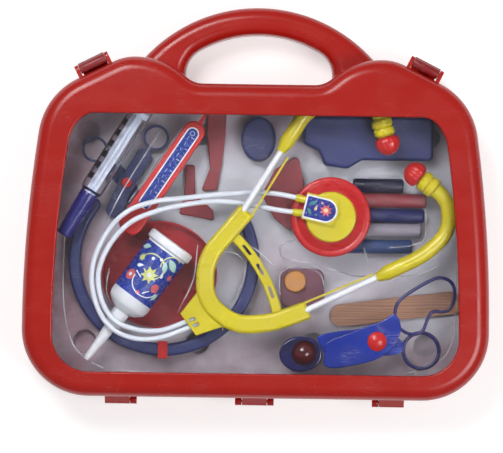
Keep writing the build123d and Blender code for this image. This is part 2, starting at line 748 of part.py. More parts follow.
# ---- bottle -------------------------------------------------------------------------------------
body_start = FLANGE_DEEP
label_start = body_start + LABEL_GAP
shoulder = BOTTLE_LENGTH - NOZZLE_LENGTH - NECK_LENGTH - SHOULDER_LENGTH
neck = shoulder + SHOULDER_LENGTH
nozzle = neck + NECK_LENGTH

keep(turned(bottle_line, [(0, 0), (0, FLANGE_R - EASE), (EASE, FLANGE_R), (body_start - EASE, FLANGE_R),
                          (body_start, FLANGE_R - EASE), (body_start, 0)]), "bottle_base")
shoulder_points = [(shoulder + along * SHOULDER_LENGTH, out * BOTTLE_R) for along, out in SHOULDER_SHAPE]
keep(turned(bottle_line, [(body_start, 0), (body_start, BOTTLE_R), (shoulder, BOTTLE_R), *shoulder_points,
                          (neck, NECK_R), (nozzle, NECK_R), (nozzle, 0)]), "bottle_body")
keep(turned(bottle_line, [(nozzle, 0), (nozzle, NOZZLE_R), (BOTTLE_LENGTH - EASE, TIP_R),
                          (BOTTLE_LENGTH, TIP_R - TIP_EASE), (BOTTLE_LENGTH, 0)]), "bottle_nozzle")
keep(turned(bottle_line, [(label_start, BOTTLE_R), (label_start, BOTTLE_R + LABEL_SKIN),
                          (label_start + BOTTLE_LABEL, BOTTLE_R + LABEL_SKIN),
                          (label_start + BOTTLE_LABEL, BOTTLE_R)]), "bottle_label")

# ---- kidney dish --------------------------------------------------------------------------------
with BuildPart() as kidney_dish:
    with BuildSketch(Plane.XY.offset(ON_DECK)):
        with Locations(DISH_AT):
            Ellipse(DISH_A, DISH_B)
    extrude(amount=DISH_DEEP)
    with BuildSketch(Plane.XY.offset(ON_DECK + DISH_WALL)):
        with Locations(DISH_AT):
            Ellipse(DISH_A - DISH_WALL, DISH_B - DISH_WALL)
    extrude(amount=DISH_DEEP, mode=Mode.SUBTRACT)
keep(kidney_dish, "kidney_dish")

# ---- thermometer --------------------------------------------------------------------------------
thermo_line = lying(THERMO_TOP, THERMO_END, ON_FILM)
with BuildPart() as thermometer_body:
    with BuildSketch(thermo_line):
        with BuildLine():
            Polyline(
                (0, -THERMO_W / 2),
                (THERMO_LENGTH, -THERMO_W_END / 2),
                (THERMO_LENGTH, THERMO_W_END / 2),
                (0, THERMO_W / 2),
                close=True,
            )
        make_face()
    extrude(amount=THERMO_THICK)
    fillet(thermometer_body.edges().filter_by(Axis.Z), THERMO_W / 2 - THERMO_FLAT)
    fillet(thermometer_body.faces().sort_by(Axis.Z)[-1].edges(), THERMO_EDGE)
    with BuildSketch(thermo_line.offset(THERMO_THICK / 2 - NUB_R)):
        with BuildLine():
            Polyline(
                (WALL, -NUB_R),
                (-NUB_LENGTH, -NUB_R / 2),
                (-NUB_LENGTH, NUB_R / 2),
                (WALL, NUB_R),
                close=True,
            )
        make_face()
    extrude(amount=2 * NUB_R)
keep(thermometer_body, "thermometer_body")

with BuildPart() as thermometer_label:
    with BuildSketch(thermo_line.offset(THERMO_THICK)):
        with Locations((THERMO_LABEL_AT + THERMO_LABEL / 2, 0)):
            SlotOverall(THERMO_LABEL, THERMO_LABEL_W)
    extrude(amount=LABEL_SKIN)
keep(thermometer_label, "thermometer_label")

# ---- syringe ------------------------------------------------------------------------------------
syringe_line = lying(SYRINGE_NOSE, SYRINGE_END, SYRINGE_Z)
nose_end = NOSE_LENGTH
barrel_end = nose_end + BARREL_LENGTH
bore = SYRINGE_R - SYRINGE_WALL
keep(turned(syringe_line, [(0, 0), (0, NOSE_TIP_R - NOSE_EASE), (NOSE_EASE, NOSE_TIP_R),
                           (nose_end - NOSE_BAND, NOSE_R), (nose_end, NOSE_R), (nose_end, NOSE_BORE),
                           (nose_end - NOSE_DEEP, NOSE_BORE), (nose_end - NOSE_DEEP, 0)]), "syringe_nose")
with BuildPart() as syringe_barrel:
    with BuildSketch(syringe_line):
        with BuildLine():
            Polyline(
                (nose_end, NOSE_BORE),
                (nose_end, NOSE_R),
                (nose_end + BARREL_CONE, SYRINGE_R),
                (barrel_end, SYRINGE_R),
                (barrel_end, bore),
                (nose_end + BARREL_CONE, bore),
                (nose_end + BARREL_FLOOR, NOSE_BORE),
                close=True,
            )
        make_face()
    revolve(axis=Axis(syringe_line.origin, syringe_line.x_dir))
    # finger flange, flattened so that it lies level
    flange_at = syringe_line.origin + syringe_line.x_dir * barrel_end
    with BuildSketch(Plane(flange_at, syringe_line.y_dir, syringe_line.x_dir)):
        RectangleRounded(FINGER_W, 2 * SYRINGE_R, SYRINGE_R / 2)
        Circle(bore, mode=Mode.SUBTRACT)
    extrude(amount=-FINGER_THICK)
keep(syringe_barrel, "syringe_barrel")

with BuildPart() as syringe_plunger:
    # a bar of cross section, a guide disc near the flange, and the thumb plate
    bar_plane = Plane(syringe_line.origin + syringe_line.x_dir * (nose_end + SEAT), syringe_line.y_dir,
                      syringe_line.x_dir)
    bar_length = barrel_end + THUMB_OUT - nose_end - SEAT
    with BuildSketch(bar_plane):
        Rectangle(BAR_W, BAR_WEB)
        Rectangle(BAR_WEB, BAR_W)
    extrude(amount=bar_length)
    with BuildSketch(bar_plane.offset(bar_length - THUMB_OUT - GUIDE_BACK)):
        Circle(bore - RUN)
    extrude(amount=GUIDE_THICK)
    with BuildSketch(bar_plane.offset(bar_length)):
        RectangleRounded(THUMB_W, 2 * (SYRINGE_R - EASE), SYRINGE_R / 2)
    extrude(amount=FINGER_THICK)
keep(syringe_plunger, "syringe_plunger")

with BuildPart() as syringe_scale:
    # printed marks round the left of the barrel
    for k in range(MARKS):
        mark_at = nose_end + MARK_FIRST + k * MARK_PITCH
        with BuildSketch(Plane(syringe_line.origin + syringe_line.x_dir * mark_at, syringe_line.y_dir,
                               syringe_line.x_dir)):
            with BuildLine():
                CenterArc((0, 0), SYRINGE_R, MARK_FROM, MARK_SWEEP)
                CenterArc((0, 0), SYRINGE_R + LABEL_SKIN, MARK_FROM, MARK_SWEEP)
                for turn in (radians(MARK_FROM), radians(MARK_FROM + MARK_SWEEP)):
                    ray = Vector(cos(turn), sin(turn))
                    Line(ray * SYRINGE_R, ray * (SYRINGE_R + LABEL_SKIN))
            make_face()
        extrude(amount=MARK_LENGTH)
keep(syringe_scale, "syringe_scale")

# ---- stethoscope headset ------------------------------------------------------------------------
# the strap across the yoke, with three slots
with BuildPart() as strap:
    with BuildSketch(Plane.XY.offset(STRAP_LOW)):
        with BuildLine():
            strap_arc = ThreePointArc(*STRAP)
        trace(line_width=STRAP_W)
    extrude(amount=STRAP_THICK)
    fillet(strap.faces().sort_by(Axis.Z)[-1].edges(), STRAP_W / 6)
    for share in STRAP_SLOTS:
        slot_at = strap_arc.position_at(share)
        slot_along = strap_arc.tangent_at(share)
        slot_plane = Plane((slot_at.X, slot_at.Y, STRAP_LOW), (slot_along.X, slot_along.Y, 0), (0, 0, 1))
        with BuildSketch(slot_plane):
            SlotOverall(SLOT_LENGTH, SLOT_W)
        extrude(amount=STRAP_THICK, mode=Mode.SUBTRACT)

# the clip that holds both hoses: bores in its open edge, and two slots over them
with BuildPart() as hose_clip:
    with BuildSketch(Plane.XY.offset(ON_FILM)):
        with BuildLine():
            Polyline(*CLIP_PLATE, close=True)
        make_face()
    extrude(amount=CLIP_THICK)
    fillet(hose_clip.faces().sort_by(Axis.Z)[-1].edges(), CLIP_EDGE)
    for route in (HOSE_OUTER, HOSE_INNER):
        hose_end = Vector(*route[-1])
        hose_way = (hose_end - Vector(*route[-2])).normalized()
        with BuildSketch(Plane(hose_end, z_dir=-hose_way)):
            Circle(HOSE_R + RUN)
        extrude(amount=CLIP_DEEP, mode=Mode.SUBTRACT)
        slot_middle = hose_end - hose_way * (CLIP_SLOT / 2 + CLIP_EDGE)
        with BuildSketch(Plane(slot_middle, (hose_way.X, hose_way.Y, 0), (0, 0, 1))):
            RectangleRounded(CLIP_SLOT, 1.6 * HOSE_R, 0.7 * HOSE_R)
        extrude(amount=CLIP_THICK, mode=Mode.SUBTRACT)


def along_arm(start, end, height):
    """Across an arm at its start, looking along it."""
    return Plane((start[0], start[1], height), z_dir=(end[0] - start[0], end[1] - start[1], 0))


with BuildPart() as steth_headset:
    with BuildSketch(Plane.XY.offset(ON_FILM)) as yoke:
        with BuildLine():
            FilletPolyline(*YOKE, radius=YOKE_RADII)
        trace(line_width=YOKE_W)
    extrude(amount=YOKE_THICK)
    fillet(steth_headset.faces().sort_by(Axis.Z)[-1].edges(), YOKE_EDGE)
    add(strap.part)
    add(hose_clip.part)
    # room for the hoses under the upper end
    with BuildSketch(Plane.XY.offset(ON_FILM)):
        with Locations(HOSE_ROOM_AT):
            Rectangle(HOSE_ROOM, HOSE_ROOM)
    extrude(amount=HOSE_ROOM_HIGH, mode=Mode.SUBTRACT)
    # sockets of the two rods, and the thin rib beside each
    for start, end, rib_start, rib_end in (UPPER_ARM, LOWER_ARM):
        with BuildSketch(along_arm(start, end, ROD_Z)):
            Circle(ROD_R + RUN)
        extrude(amount=SOCKET_DEEP, both=True, mode=Mode.SUBTRACT)
        with BuildSketch(along_arm(rib_start, rib_end, RIB_Z)):
            Rectangle(RIB_W, RIB_HIGH)
        extrude(amount=(Vector(rib_end) - Vector(rib_start)).length)
keep(steth_headset, "steth_headset")


def rod(start, end, height, radius, deep_start, deep_end):
    """A round rod between two points, run on by a depth at each end."""
    plane = along_arm(start, end, height)
    with BuildPart() as made:
        with BuildSketch(plane.offset(-deep_start)):
            Circle(radius)
        extrude(amount=(Vector(end) - Vector(start)).length + deep_start + deep_end)
        chamfer(made.edges().filter_by(GeomType.CIRCLE), radius / 5)
    return made


def ear_tube(route, radii):
    """A bent tube with a tapered start and two rounded collars before its end, bored for its rod."""
    with BuildPart() as made:
        with BuildLine():
            path = FilletPolyline(*[(x, y, EAR_Z) for x, y in route], radius=radii)
        with BuildSketch(Plane(path @ 0, z_dir=path % 0)):
            Circle(EAR_R)
        sweep()
        end_plane = Plane(path @ 1, x_dir=path % 1, z_dir=(0, 0, 1))
        for back, radius in ((COLLAR_BACK, COLLAR_R), (COLLAR_R / 2, COLLAR_R)):
            with BuildSketch(end_plane):
                with BuildLine():
                    Polyline(
                        (-back - COLLAR_R / 2, 0),
                        (-back - COLLAR_R / 2, EAR_R),
                        (-back - COLLAR_R / 4, radius),
                        (-back + COLLAR_R / 4, radius),
                        (-back + COLLAR_R / 2, EAR_R),
                        (-back + COLLAR_R / 2, 0),
                        close=True,
                    )
                make_face()
            revolve(axis=Axis(end_plane.origin, end_plane.x_dir))
        start_plane = Plane(path @ 0, x_dir=path % 0, z_dir=(0, 0, 1))
        with BuildSketch(start_plane):
            with BuildLine():
                Polyline((0, 0), (0, EAR_R), (-TAPER, ROD_R + TAPER_WALL), (-TAPER, 0), close=True)
            make_face()
        revolve(axis=Axis(start_plane.origin, start_plane.x_dir))
        with BuildSketch(Plane(start_plane.origin - start_plane.x_dir * TAPER, z_dir=start_plane.x_dir)):
            Circle(ROD_R + RUN)
        extrude(amount=SOCKET_DEEP, mode=Mode.SUBTRACT)
    return made, end_plane


def cap_middle(radius, low, high):
    """(radius, height) halfway along the round cap from (radius, low) to (0, high)."""
    rise = high - low
    ball = (radius**2 + rise**2) / (2 * rise)
    half = atan2(radius, low - high + ball) / 2
    return ball * sin(half), high - ball + ball * cos(half)


def ear_tip(end_plane):
    """The soft dome on an ear tube's end."""
    plane = Plane(end_plane.origin + end_plane.x_dir * TIP_GAP, end_plane.x_dir, (0, 0, 1))
    with BuildPart() as made:
        with BuildSketch(plane):
            with BuildLine():
                Polyline((DOME_DEEP, 0), (0, 0), (0, DOME_R - DOME_LIP), (DOME_LIP, DOME_R))
                out, along = cap_middle(DOME_R, DOME_LIP, DOME_DEEP)
                ThreePointArc((DOME_LIP, DOME_R), (along, out), (DOME_DEEP, 0))
            make_face()
        revolve(axis=Axis(plane.origin, plane.x_dir))
    return made


for name, arm, run, bends, radii in (
    ("upper", UPPER_ARM, EAR_UPPER_RUN, EAR_UPPER, EAR_UPPER_RADII),
    ("lower", LOWER_ARM, EAR_LOWER_RUN, EAR_LOWER, EAR_LOWER_RADII),
):
    start, end = arm[0], arm[1]
    way = (Vector(end) - Vector(start)).normalized()
    route = [tuple(Vector(end) + way * reach)[:2] for reach in (TAPER, run)] + bends
    keep(rod(start, end, ROD_Z, ROD_R, SOCKET_DEEP - SEAT, SOCKET_DEEP - 2 * SEAT), "arm_rod_" + name)
    tube, tube_end = ear_tube(route, radii)
    keep(tube, "ear_tube_" + name)
    keep(ear_tip(tube_end), "ear_tip_" + name)

# ---- chest piece --------------------------------------------------------------------------------
chest = Plane((CHEST_AT[0], CHEST_AT[1], ON_FILM))
with BuildPart() as chestpiece_diaphragm:
    with BuildSketch(chest):
        Circle(BELL_R - BELL_EDGE)
    extrude(amount=DIAPHRAGM)
keep(chestpiece_diaphragm, "chestpiece_diaphragm")

with BuildPart() as chestpiece_bell:
    with BuildSketch(Plane(chest.origin, (1, 0, 0), (0, -1, 0))):
        with BuildLine():
            Polyline(
                (0, DIAPHRAGM),
                (BELL_R - BELL_EDGE, DIAPHRAGM),
                (BELL_R - BELL_EDGE, 0),
                (BELL_R - BELL_EDGE / 2, 0),
                (BELL_R, BELL_EDGE / 2),
                (BELL_R, BELL_EDGE),
                *[(BELL_R - inward, BELL_EDGE + up) for inward, up in BELL_BEAD],
                (CAP_R + CAP_STEP, BELL_THICK),
                (0, BELL_THICK),
                close=True,
            )
        make_face()
    revolve(axis=Axis(chest.origin, (0, 0, 1)))
keep(chestpiece_bell, "chestpiece_bell")

label_way = (cos(radians(LABEL_TURN)), sin(radians(LABEL_TURN)), 0)
label_plane = Plane((*LABEL_AT, ON_FILM + BELL_THICK), label_way, (0, 0, 1))
block_width = LABEL_W + 2 * BLOCK_RIM
with BuildPart() as chestpiece_cap:
    with BuildSketch(chest.offset(BELL_THICK)):
        Circle(CAP_R)
    extrude(amount=CAP_THICK)
    fillet(chestpiece_cap.edges().sort_by(Axis.Z)[-1], CAP_THICK / 2)
    # the raised block that carries the label and the two hose stubs
    with BuildSketch(label_plane):
        with Locations((-LABEL_LENGTH / 2, 0)):
            Rectangle(LABEL_LENGTH / 2 + 2 * BLOCK_RIM, block_width, align=(Align.MIN, Align.CENTER))
        Circle(block_width / 2)
        with Locations((LABEL_LENGTH / 2 - LABEL_W / 2, 0)):
            Circle(block_width / 2)
        with Locations((-BLOCK_RIM, 0)):
            Rectangle(LABEL_LENGTH / 2, block_width, align=(Align.MIN, Align.CENTER))
    extrude(amount=BLOCK_THICK)
    for route in (HOSE_OUTER, HOSE_INNER):
        stub_plane = Plane(Vector(*route[0]), z_dir=Vector(*route[0]) - Vector(*route[1]))
        with BuildSketch(stub_plane.offset(-STUB_CUP)):
            Circle(STUB_R)
        extrude(amount=STUB_CUP + STUB_LENGTH)
        with BuildSketch(stub_plane.offset(-STUB_CUP)):
            Circle(HOSE_R + RUN)
        extrude(amount=STUB_CUP, mode=Mode.SUBTRACT)
keep(chestpiece_cap, "chestpiece_cap")

with BuildPart() as chestpiece_label:
    with BuildSketch(label_plane.offset(BLOCK_THICK)):
        with Locations((-LABEL_LENGTH / 2, 0)):
            Rectangle(LABEL_LENGTH - LABEL_W / 2, LABEL_W, align=(Align.MIN, Align.CENTER))
        with Locations((LABEL_LENGTH / 2 - LABEL_W / 2, 0)):
            Circle(LABEL_W / 2)
    extrude(amount=LABEL_SKIN)
keep(chestpiece_label, "chestpiece_label")


# ---- hoses --------------------------------------------------------------------------------------
def bend_radii(route):
    """For each inner point, the radius whose bend takes a fixed share of its shorter run."""
    found = []
    for before, here, after in zip(route, route[1:], route[2:]):
        run_in = Vector(*here) - Vector(*before)
        run_out = Vector(*after) - Vector(*here)
        turn = radians(run_in.get_angle(run_out))
        found.append(BEND_SHARE * min(run_in.length, run_out.length) / tan(turn / 2))
    return found


for name, route in (("steth_hose_outer", HOSE_OUTER), ("steth_hose_inner", HOSE_INNER)):
    radii = bend_radii(route)
    with BuildPart() as hose:
        with BuildLine():
            path = FilletPolyline(*route, radius=radii)
        with BuildSketch(Plane(path @ 0, z_dir=path % 0)):
            Circle(HOSE_R)
        sweep()
    keep(hose, name)
    share = hose.part.volume / (pi * HOSE_R**2 * path.length)
    print(name, "length", round(path.length, 1), "volume share", round(share, 4))
    print("  radii", [round(r, 1) for r in radii], "least allowed", 5 * 2 * HOSE_R)


# ---- scissors -----------------------------------------------------------------------------------
with BuildPart() as scissors_lower:
    with BuildSketch(Plane.XY.offset(ON_FILM)):
        with BuildLine():
            Polyline(*BLADE_LOWER, close=True)
        make_face()
        with Locations(PIVOT_AT):
            Circle(PIVOT_BOSS_R)
        with Locations(LOOP_LOW_AT):
            Circle(LOOP_LOW_R)
            Circle(LOOP_LOW_R - LOOP_WIRE, mode=Mode.SUBTRACT)
        with Locations(PIVOT_AT):
            Circle(RIVET_R + RUN, mode=Mode.SUBTRACT)
    extrude(amount=BLADE_THICK)
keep(scissors_lower, "scissors_lower")

with BuildPart() as scissors_upper:
    with BuildSketch(Plane.XY.offset(ON_FILM + BLADE_THICK + SEAT)):
        with BuildLine():
            Polyline(*BLADE_UPPER, close=True)
        make_face()
        with Locations(PIVOT_AT):
            Circle(PIVOT_BOSS_R)
        with BuildLine():
            FilletPolyline(*LOOP_HIGH, radius=LOOP_CORNER, close=True)
        make_face()
        with BuildLine():
            FilletPolyline(*LOOP_HIGH, radius=LOOP_CORNER, close=True)
            offset(amount=-LOOP_WIRE, mode=Mode.REPLACE)
        make_face(mode=Mode.SUBTRACT)
        with Locations(PIVOT_AT):
            Circle(RIVET_R + RUN, mode=Mode.SUBTRACT)
    extrude(amount=BLADE_THICK)
keep(scissors_upper, "scissors_upper")

with BuildPart() as scissors_rivet:
    stack = 2 * BLADE_THICK + SEAT
    with BuildSketch(Plane((*PIVOT_AT, ON_FILM), (1, 0, 0), (0, -1, 0))):
        with BuildLine():
            rim, crown = (RIVET_HEAD_R, stack + RIVET_FLAT), (0, stack + RIVET_HEAD)
            Polyline((0, 0), (RIVET_R, 0), (RIVET_R, stack + SEAT), (RIVET_HEAD_R, stack + SEAT), rim)
            ThreePointArc(rim, cap_middle(*rim, stack + RIVET_HEAD), crown)
            Line(crown, (0, 0))
        make_face()
    revolve(axis=Axis((*PIVOT_AT, 0), (0, 0, 1)))
keep(scissors_rivet, "scissors_rivet")

# ---- mirror: an oval cup with a red dome --------------------------------------------------------
with BuildPart() as mirror_cup:
    with BuildSketch(Plane.XY.offset(ON_FILM)):
        with Locations(CUP_AT):
            Ellipse(CUP_A, CUP_B)
    extrude(amount=CUP_THICK)
    fillet(mirror_cup.edges().sort_by(Axis.Z)[-1], CUP_EDGE)
    with BuildSketch(Plane.XY.offset(ON_FILM + CUP_FLOOR)):
        with Locations(CUP_AT):
            Ellipse(CUP_A - CUP_RIM, CUP_B - CUP_RIM)
    extrude(amount=CUP_THICK, mode=Mode.SUBTRACT)
keep(mirror_cup, "mirror_cup")

with BuildPart() as mirror_dome:
    with BuildSketch(Plane((*DOME_AT, ON_FILM + CUP_FLOOR), (1, 0, 0), (0, -1, 0))):
        with BuildLine():
            Polyline((0, DOME_HIGH), (0, 0), (RED_DOME_R, 0), (RED_DOME_R, DOME_FOOT))
            dome_middle = cap_middle(RED_DOME_R, DOME_FOOT, DOME_HIGH)
            ThreePointArc((RED_DOME_R, DOME_FOOT), dome_middle, (0, DOME_HIGH))
        make_face()
    revolve(axis=Axis((*DOME_AT, 0), (0, 0, 1)))
keep(mirror_dome, "mirror_dome")

# ---- forceps, under the film --------------------------------------------------------------------
for name, level, ring_at, elbow, tip in (
    ("forceps_lower", 0, FORCEPS_RING_LEFT, FORCEPS_ELBOW_LEFT, FORCEPS_TIP_RIGHT),
    ("forceps_upper", FORCEPS_THICK + SEAT, FORCEPS_RING_RIGHT, FORCEPS_ELBOW_RIGHT, FORCEPS_TIP_LEFT),
):
    with BuildPart() as arm:
        with BuildSketch(Plane.XY.offset(ON_DECK + level)):
            with BuildLine():
                FilletPolyline(elbow, FORCEPS_PIVOT, tip, radius=FORCEPS_BEND)
            trace(line_width=FORCEPS_W)
            with BuildLine():
                Line(ring_at, elbow)
            trace(line_width=FORCEPS_SHANK)
            with Locations(elbow):
                Circle(FORCEPS_W / 2)
            with Locations(tip):
                Circle(FORCEPS_W / 2)
            with Locations(FORCEPS_PIVOT):
                Circle(FORCEPS_BOSS_R)
            with Locations(ring_at):
                Circle(FORCEPS_RING_R)
                Circle(FORCEPS_RING_R - FORCEPS_WIRE, mode=Mode.SUBTRACT)
            with Locations(FORCEPS_PIVOT):
                Circle(FORCEPS_RIVET_R + RUN, mode=Mode.SUBTRACT)
        extrude(amount=FORCEPS_THICK)
    keep(arm, name)

with BuildPart() as forceps_rivet:
    with BuildSketch(Plane.XY.offset(ON_DECK)):
        with Locations(FORCEPS_PIVOT):
            Circle(FORCEPS_RIVET_R)
    extrude(amount=2 * FORCEPS_THICK + 2 * SEAT)
    with BuildSketch(Plane.XY.offset(ON_DECK + 2 * FORCEPS_THICK + 2 * SEAT)):
        with Locations(FORCEPS_PIVOT):
            Circle(FORCEPS_HEAD_R)
    extrude(amount=FORCEPS_HEAD)
    fillet(forceps_rivet.edges().sort_by(Axis.Z)[-1], FORCEPS_HEAD / 2)
keep(forceps_rivet, "forceps_rivet")

# ---- headband -----------------------------------------------------------------------------------
with BuildPart() as headband:
    with BuildSketch(Plane.XY.offset(ON_DECK)):
        with BuildLine():
            CenterArc(BAND_AT, BAND_R - BAND_W / 2, BAND_FROM, BAND_SWEEP)
        trace(line_width=BAND_W)
        reach = BAND_R - BAND_W / 2
        for turn in (radians(BAND_FROM), radians(BAND_FROM + BAND_SWEEP)):
            with Locations((BAND_AT[0] + reach * cos(turn), BAND_AT[1] + reach * sin(turn))):
                Circle(BAND_W / 2)
    extrude(amount=BAND_HIGH)
    fillet(headband.faces().sort_by(Axis.Z)[-1].edges(), BAND_W / 4)
keep(headband, "headband")

with BuildPart() as headband_clip:
    clip_foot = BAND_AT[1] - BAND_R - SEAT
    clip_top = ON_DECK + BAND_HIGH + SEAT
    with BuildSketch(Plane((BAND_AT[0], clip_foot, 0), (0, 1, 0), (1, 0, 0))):
        with BuildLine():
            Polyline(
                (-BAND_CLIP_WALL, ON_DECK),
                (0, ON_DECK),
                (0, clip_top),
                (BAND_W + 2 * SEAT, clip_top),
                (BAND_W + 2 * SEAT, clip_top - BAND_CLIP_HOOK),
                (BAND_W + 2 * SEAT + BAND_CLIP_WALL, clip_top - BAND_CLIP_HOOK),
                (BAND_W + 2 * SEAT + BAND_CLIP_WALL, clip_top + BAND_CLIP_WALL),
                (-BAND_CLIP_WALL, clip_top + BAND_CLIP_WALL),
                close=True,
            )
        make_face()
    extrude(amount=BAND_CLIP_W / 2, both=True)
keep(headband_clip, "headband_clip")

# ---- otoscope: a body with a round head, and its loose cup --------------------------------------
with BuildPart() as otoscope_body:
    with BuildSketch(Plane.XY.offset(ON_DECK)):
        with BuildLine():
            FilletPolyline(*SCOPE, radius=SCOPE_ROUND, close=True)
        make_face()
    extrude(amount=SCOPE_THICK)
    fillet(otoscope_body.faces().sort_by(Axis.Z)[-1].edges(), SCOPE_EDGE)
keep(otoscope_body, "otoscope_body")

with BuildPart() as otoscope_cup:
    with BuildSketch(Plane.XY.offset(ON_DECK)):
        with Locations(SCOPE_CUP_AT):
            Ellipse(SCOPE_CUP_A, SCOPE_CUP_B)
    extrude(amount=SCOPE_CUP_HIGH)
    fillet(otoscope_cup.edges().sort_by(Axis.Z)[-1], SCOPE_EDGE)
keep(otoscope_cup, "otoscope_cup")

# ---- flat red tools -----------------------------------------------------------------------------
for name, shape, corner, thick in (
    ("tweezers", TWEEZERS, TOOL_CORNER, FLAT_THICK),
    ("probe", PROBE, TOOL_CORNER, FLAT_THICK),
    ("hammer_head", HAMMER, HAMMER_CORNER, HAMMER_THICK),
):
    with BuildPart() as flat_tool:
        with BuildSketch(Plane.XY.offset(ON_DECK)):
            with BuildLine():
                FilletPolyline(*shape, radius=corner, close=True)
            make_face()
        extrude(amount=thick)
        fillet(flat_tool.faces().sort_by(Axis.Z)[-1].edges(), FLAT_EDGE)
    keep(flat_tool, name)

# ---- round pieces lying level: the hammer's handle and the vials --------------------------------
for name, x_low, x_high, y_middle, radius in ROUNDS:
    line = lying((x_low, y_middle), (x_high, y_middle), ON_DECK + radius)
    length = x_high - x_low
    keep(turned(line, [(0, 0), (0, radius - EASE), (EASE, radius), (length - EASE, radius),
                       (length, radius - EASE), (length, 0)]), name)

# ---- pill, its dish, and the tongue depressor ---------------------------------------------------
with BuildPart() as pill_dish:
    with BuildSketch(Plane.XY.offset(ON_DECK)):
        with Locations(PILL_DISH_AT):
            RectangleRounded(PILL_DISH_W, PILL_DISH_H, PILL_DISH_ROUND)
    extrude(amount=PILL_DISH_THICK)
    fillet(pill_dish.faces().sort_by(Axis.Z)[-1].edges(), PILL_DISH_EDGE)
    with BuildSketch(Plane.XY.offset(ON_DECK + PILL_DISH_THICK - PILL_SUNK)):
        with Locations(PILL_AT):
            Circle(PILL_R + SEAT)
    extrude(amount=PILL_SUNK, mode=Mode.SUBTRACT)
keep(pill_dish, "pill_dish")

with BuildPart() as pill_tablet:
    with BuildSketch(Plane.XY.offset(ON_DECK + PILL_DISH_THICK - PILL_SUNK)):
        with Locations(PILL_AT):
            Circle(PILL_R)
    extrude(amount=PILL_THICK)
    fillet(pill_tablet.edges().sort_by(Axis.Z)[-1], PILL_EDGE)
keep(pill_tablet, "pill_tablet")

with BuildPart() as tongue_depressor:
    with BuildSketch(lying(STICK_START, STICK_END, ON_DECK)):
        with Locations((STICK_LENGTH / 2, 0)):
            SlotOverall(STICK_LENGTH, STICK_W)
    extrude(amount=STICK_THICK)
keep(tongue_depressor, "tongue_depressor")
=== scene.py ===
"""Finishes, prints and soft pieces for a toy doctor case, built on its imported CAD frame.

Lengths are in metres in the frame's own axes: +X is right, +Y is towards the handle, and +Z is out
of the window. The case lies on its back on the floor.
"""

from math import cos, pi, radians, sin, sqrt

import bmesh
import bpy
from mathutils import Matrix, Vector


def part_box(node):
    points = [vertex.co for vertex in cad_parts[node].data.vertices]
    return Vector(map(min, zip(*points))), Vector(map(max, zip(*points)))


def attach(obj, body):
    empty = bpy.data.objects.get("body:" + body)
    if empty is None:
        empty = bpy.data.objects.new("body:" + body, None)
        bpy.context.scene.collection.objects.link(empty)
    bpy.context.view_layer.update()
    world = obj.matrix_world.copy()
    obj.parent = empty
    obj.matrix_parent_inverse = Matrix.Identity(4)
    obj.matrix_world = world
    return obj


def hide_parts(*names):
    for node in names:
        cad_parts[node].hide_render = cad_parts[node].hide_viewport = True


bl_info = {
    "name": "Toy Doctor Case",
    "version": (1, 0, 0),
    "blender": (4, 5, 0),
    "location": "View3D > Sidebar > Doctor Case",
    "description": "Dresses the CAD frame of a toy doctor case with its plastics, prints and hoses",
    "category": "Object",
}

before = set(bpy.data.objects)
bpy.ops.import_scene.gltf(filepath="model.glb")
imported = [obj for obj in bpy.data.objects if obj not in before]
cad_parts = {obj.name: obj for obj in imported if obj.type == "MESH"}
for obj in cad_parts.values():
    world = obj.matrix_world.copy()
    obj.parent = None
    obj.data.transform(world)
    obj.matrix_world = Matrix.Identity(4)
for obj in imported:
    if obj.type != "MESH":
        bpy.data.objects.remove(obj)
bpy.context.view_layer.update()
MM = 0.001


# ---- colours and sizes that a user may change ----------------------------------------------------
def paint(red, green, blue):
    """A linear colour from the 0 to 255 values that a colour picker shows."""
    channels = [value / 255 for value in (red, green, blue)]
    return tuple(c / 12.92 if c <= 0.04045 else ((c + 0.055) / 1.055) ** 2.4 for c in channels)


def colour_property(name, description, red, green, blue):
    return bpy.props.FloatVectorProperty(
        name=name, description=description, subtype="COLOR", size=3, min=0, max=1,
        default=paint(red, green, blue),
    )


def length_property(name, description, millimetres):
    return bpy.props.FloatProperty(
        name=name, description=description, subtype="DISTANCE", unit="LENGTH", min=0,
        default=millimetres * MM,
    )


class DoctorCaseColours(bpy.types.PropertyGroup):
    """Colours of the case and its tools."""

    shell: colour_property("Case", "Base, lid and handle", 186, 30, 22)
    latch: colour_property("Latch", "The two latches", 150, 36, 40)
    liner: colour_property("Liner", "The formed liner", 180, 182, 190)
    # liner_shade colours both the liner's random mauve patches and the painted shade by its walls
    liner_shade: colour_property("Liner Shade", "Darker patches of the liner", 132, 92, 104)
    yellow: colour_property("Yellow", "Stethoscope headset and cap", 195, 181, 14)
    bell: colour_property("Bell", "Stethoscope chest piece", 180, 20, 24)
    white: colour_property("White", "Bottle, plunger, rods and hoses", 212, 215, 220)
    blade: colour_property("Blade", "Scissors", 2, 36, 138)
    navy: colour_property("Navy", "Syringe nose and mirror cup", 26, 24, 104)
    slate: colour_property("Slate", "Headband, otoscope and forceps", 32, 42, 98)
    rose: colour_property("Rose", "Tweezers, probe and hammer", 134, 42, 50)
    red: colour_property("Red", "Thermometer, ear tips and rivets", 184, 24, 22)


class DoctorCaseSizes(bpy.types.PropertyGroup):
    """Sizes of the pieces that are made here."""

    hose: length_property("Hose Diameter", "Across each stethoscope hose", 3.5)
    edge: length_property("Edge Rounding", "Rounding of moulded edges", 0.5)
    print_lift: length_property("Print Lift", "How far a print stands off its surface", 0.06)


def colours():
    return bpy.context.scene.doctor_case_colours


def sizes():
    return bpy.context.scene.doctor_case_sizes


# ---- shader helpers ------------------------------------------------------------------------------
def feed(tree, socket, value):
    """Gives a socket a value, or links it to the socket that feeds it."""
    if isinstance(value, bpy.types.NodeSocket):
        tree.links.new(value, socket)
    elif socket.type == "RGBA" and len(value) == 3:
        socket.default_value = (*value, 1)
    else:
        socket.default_value = value


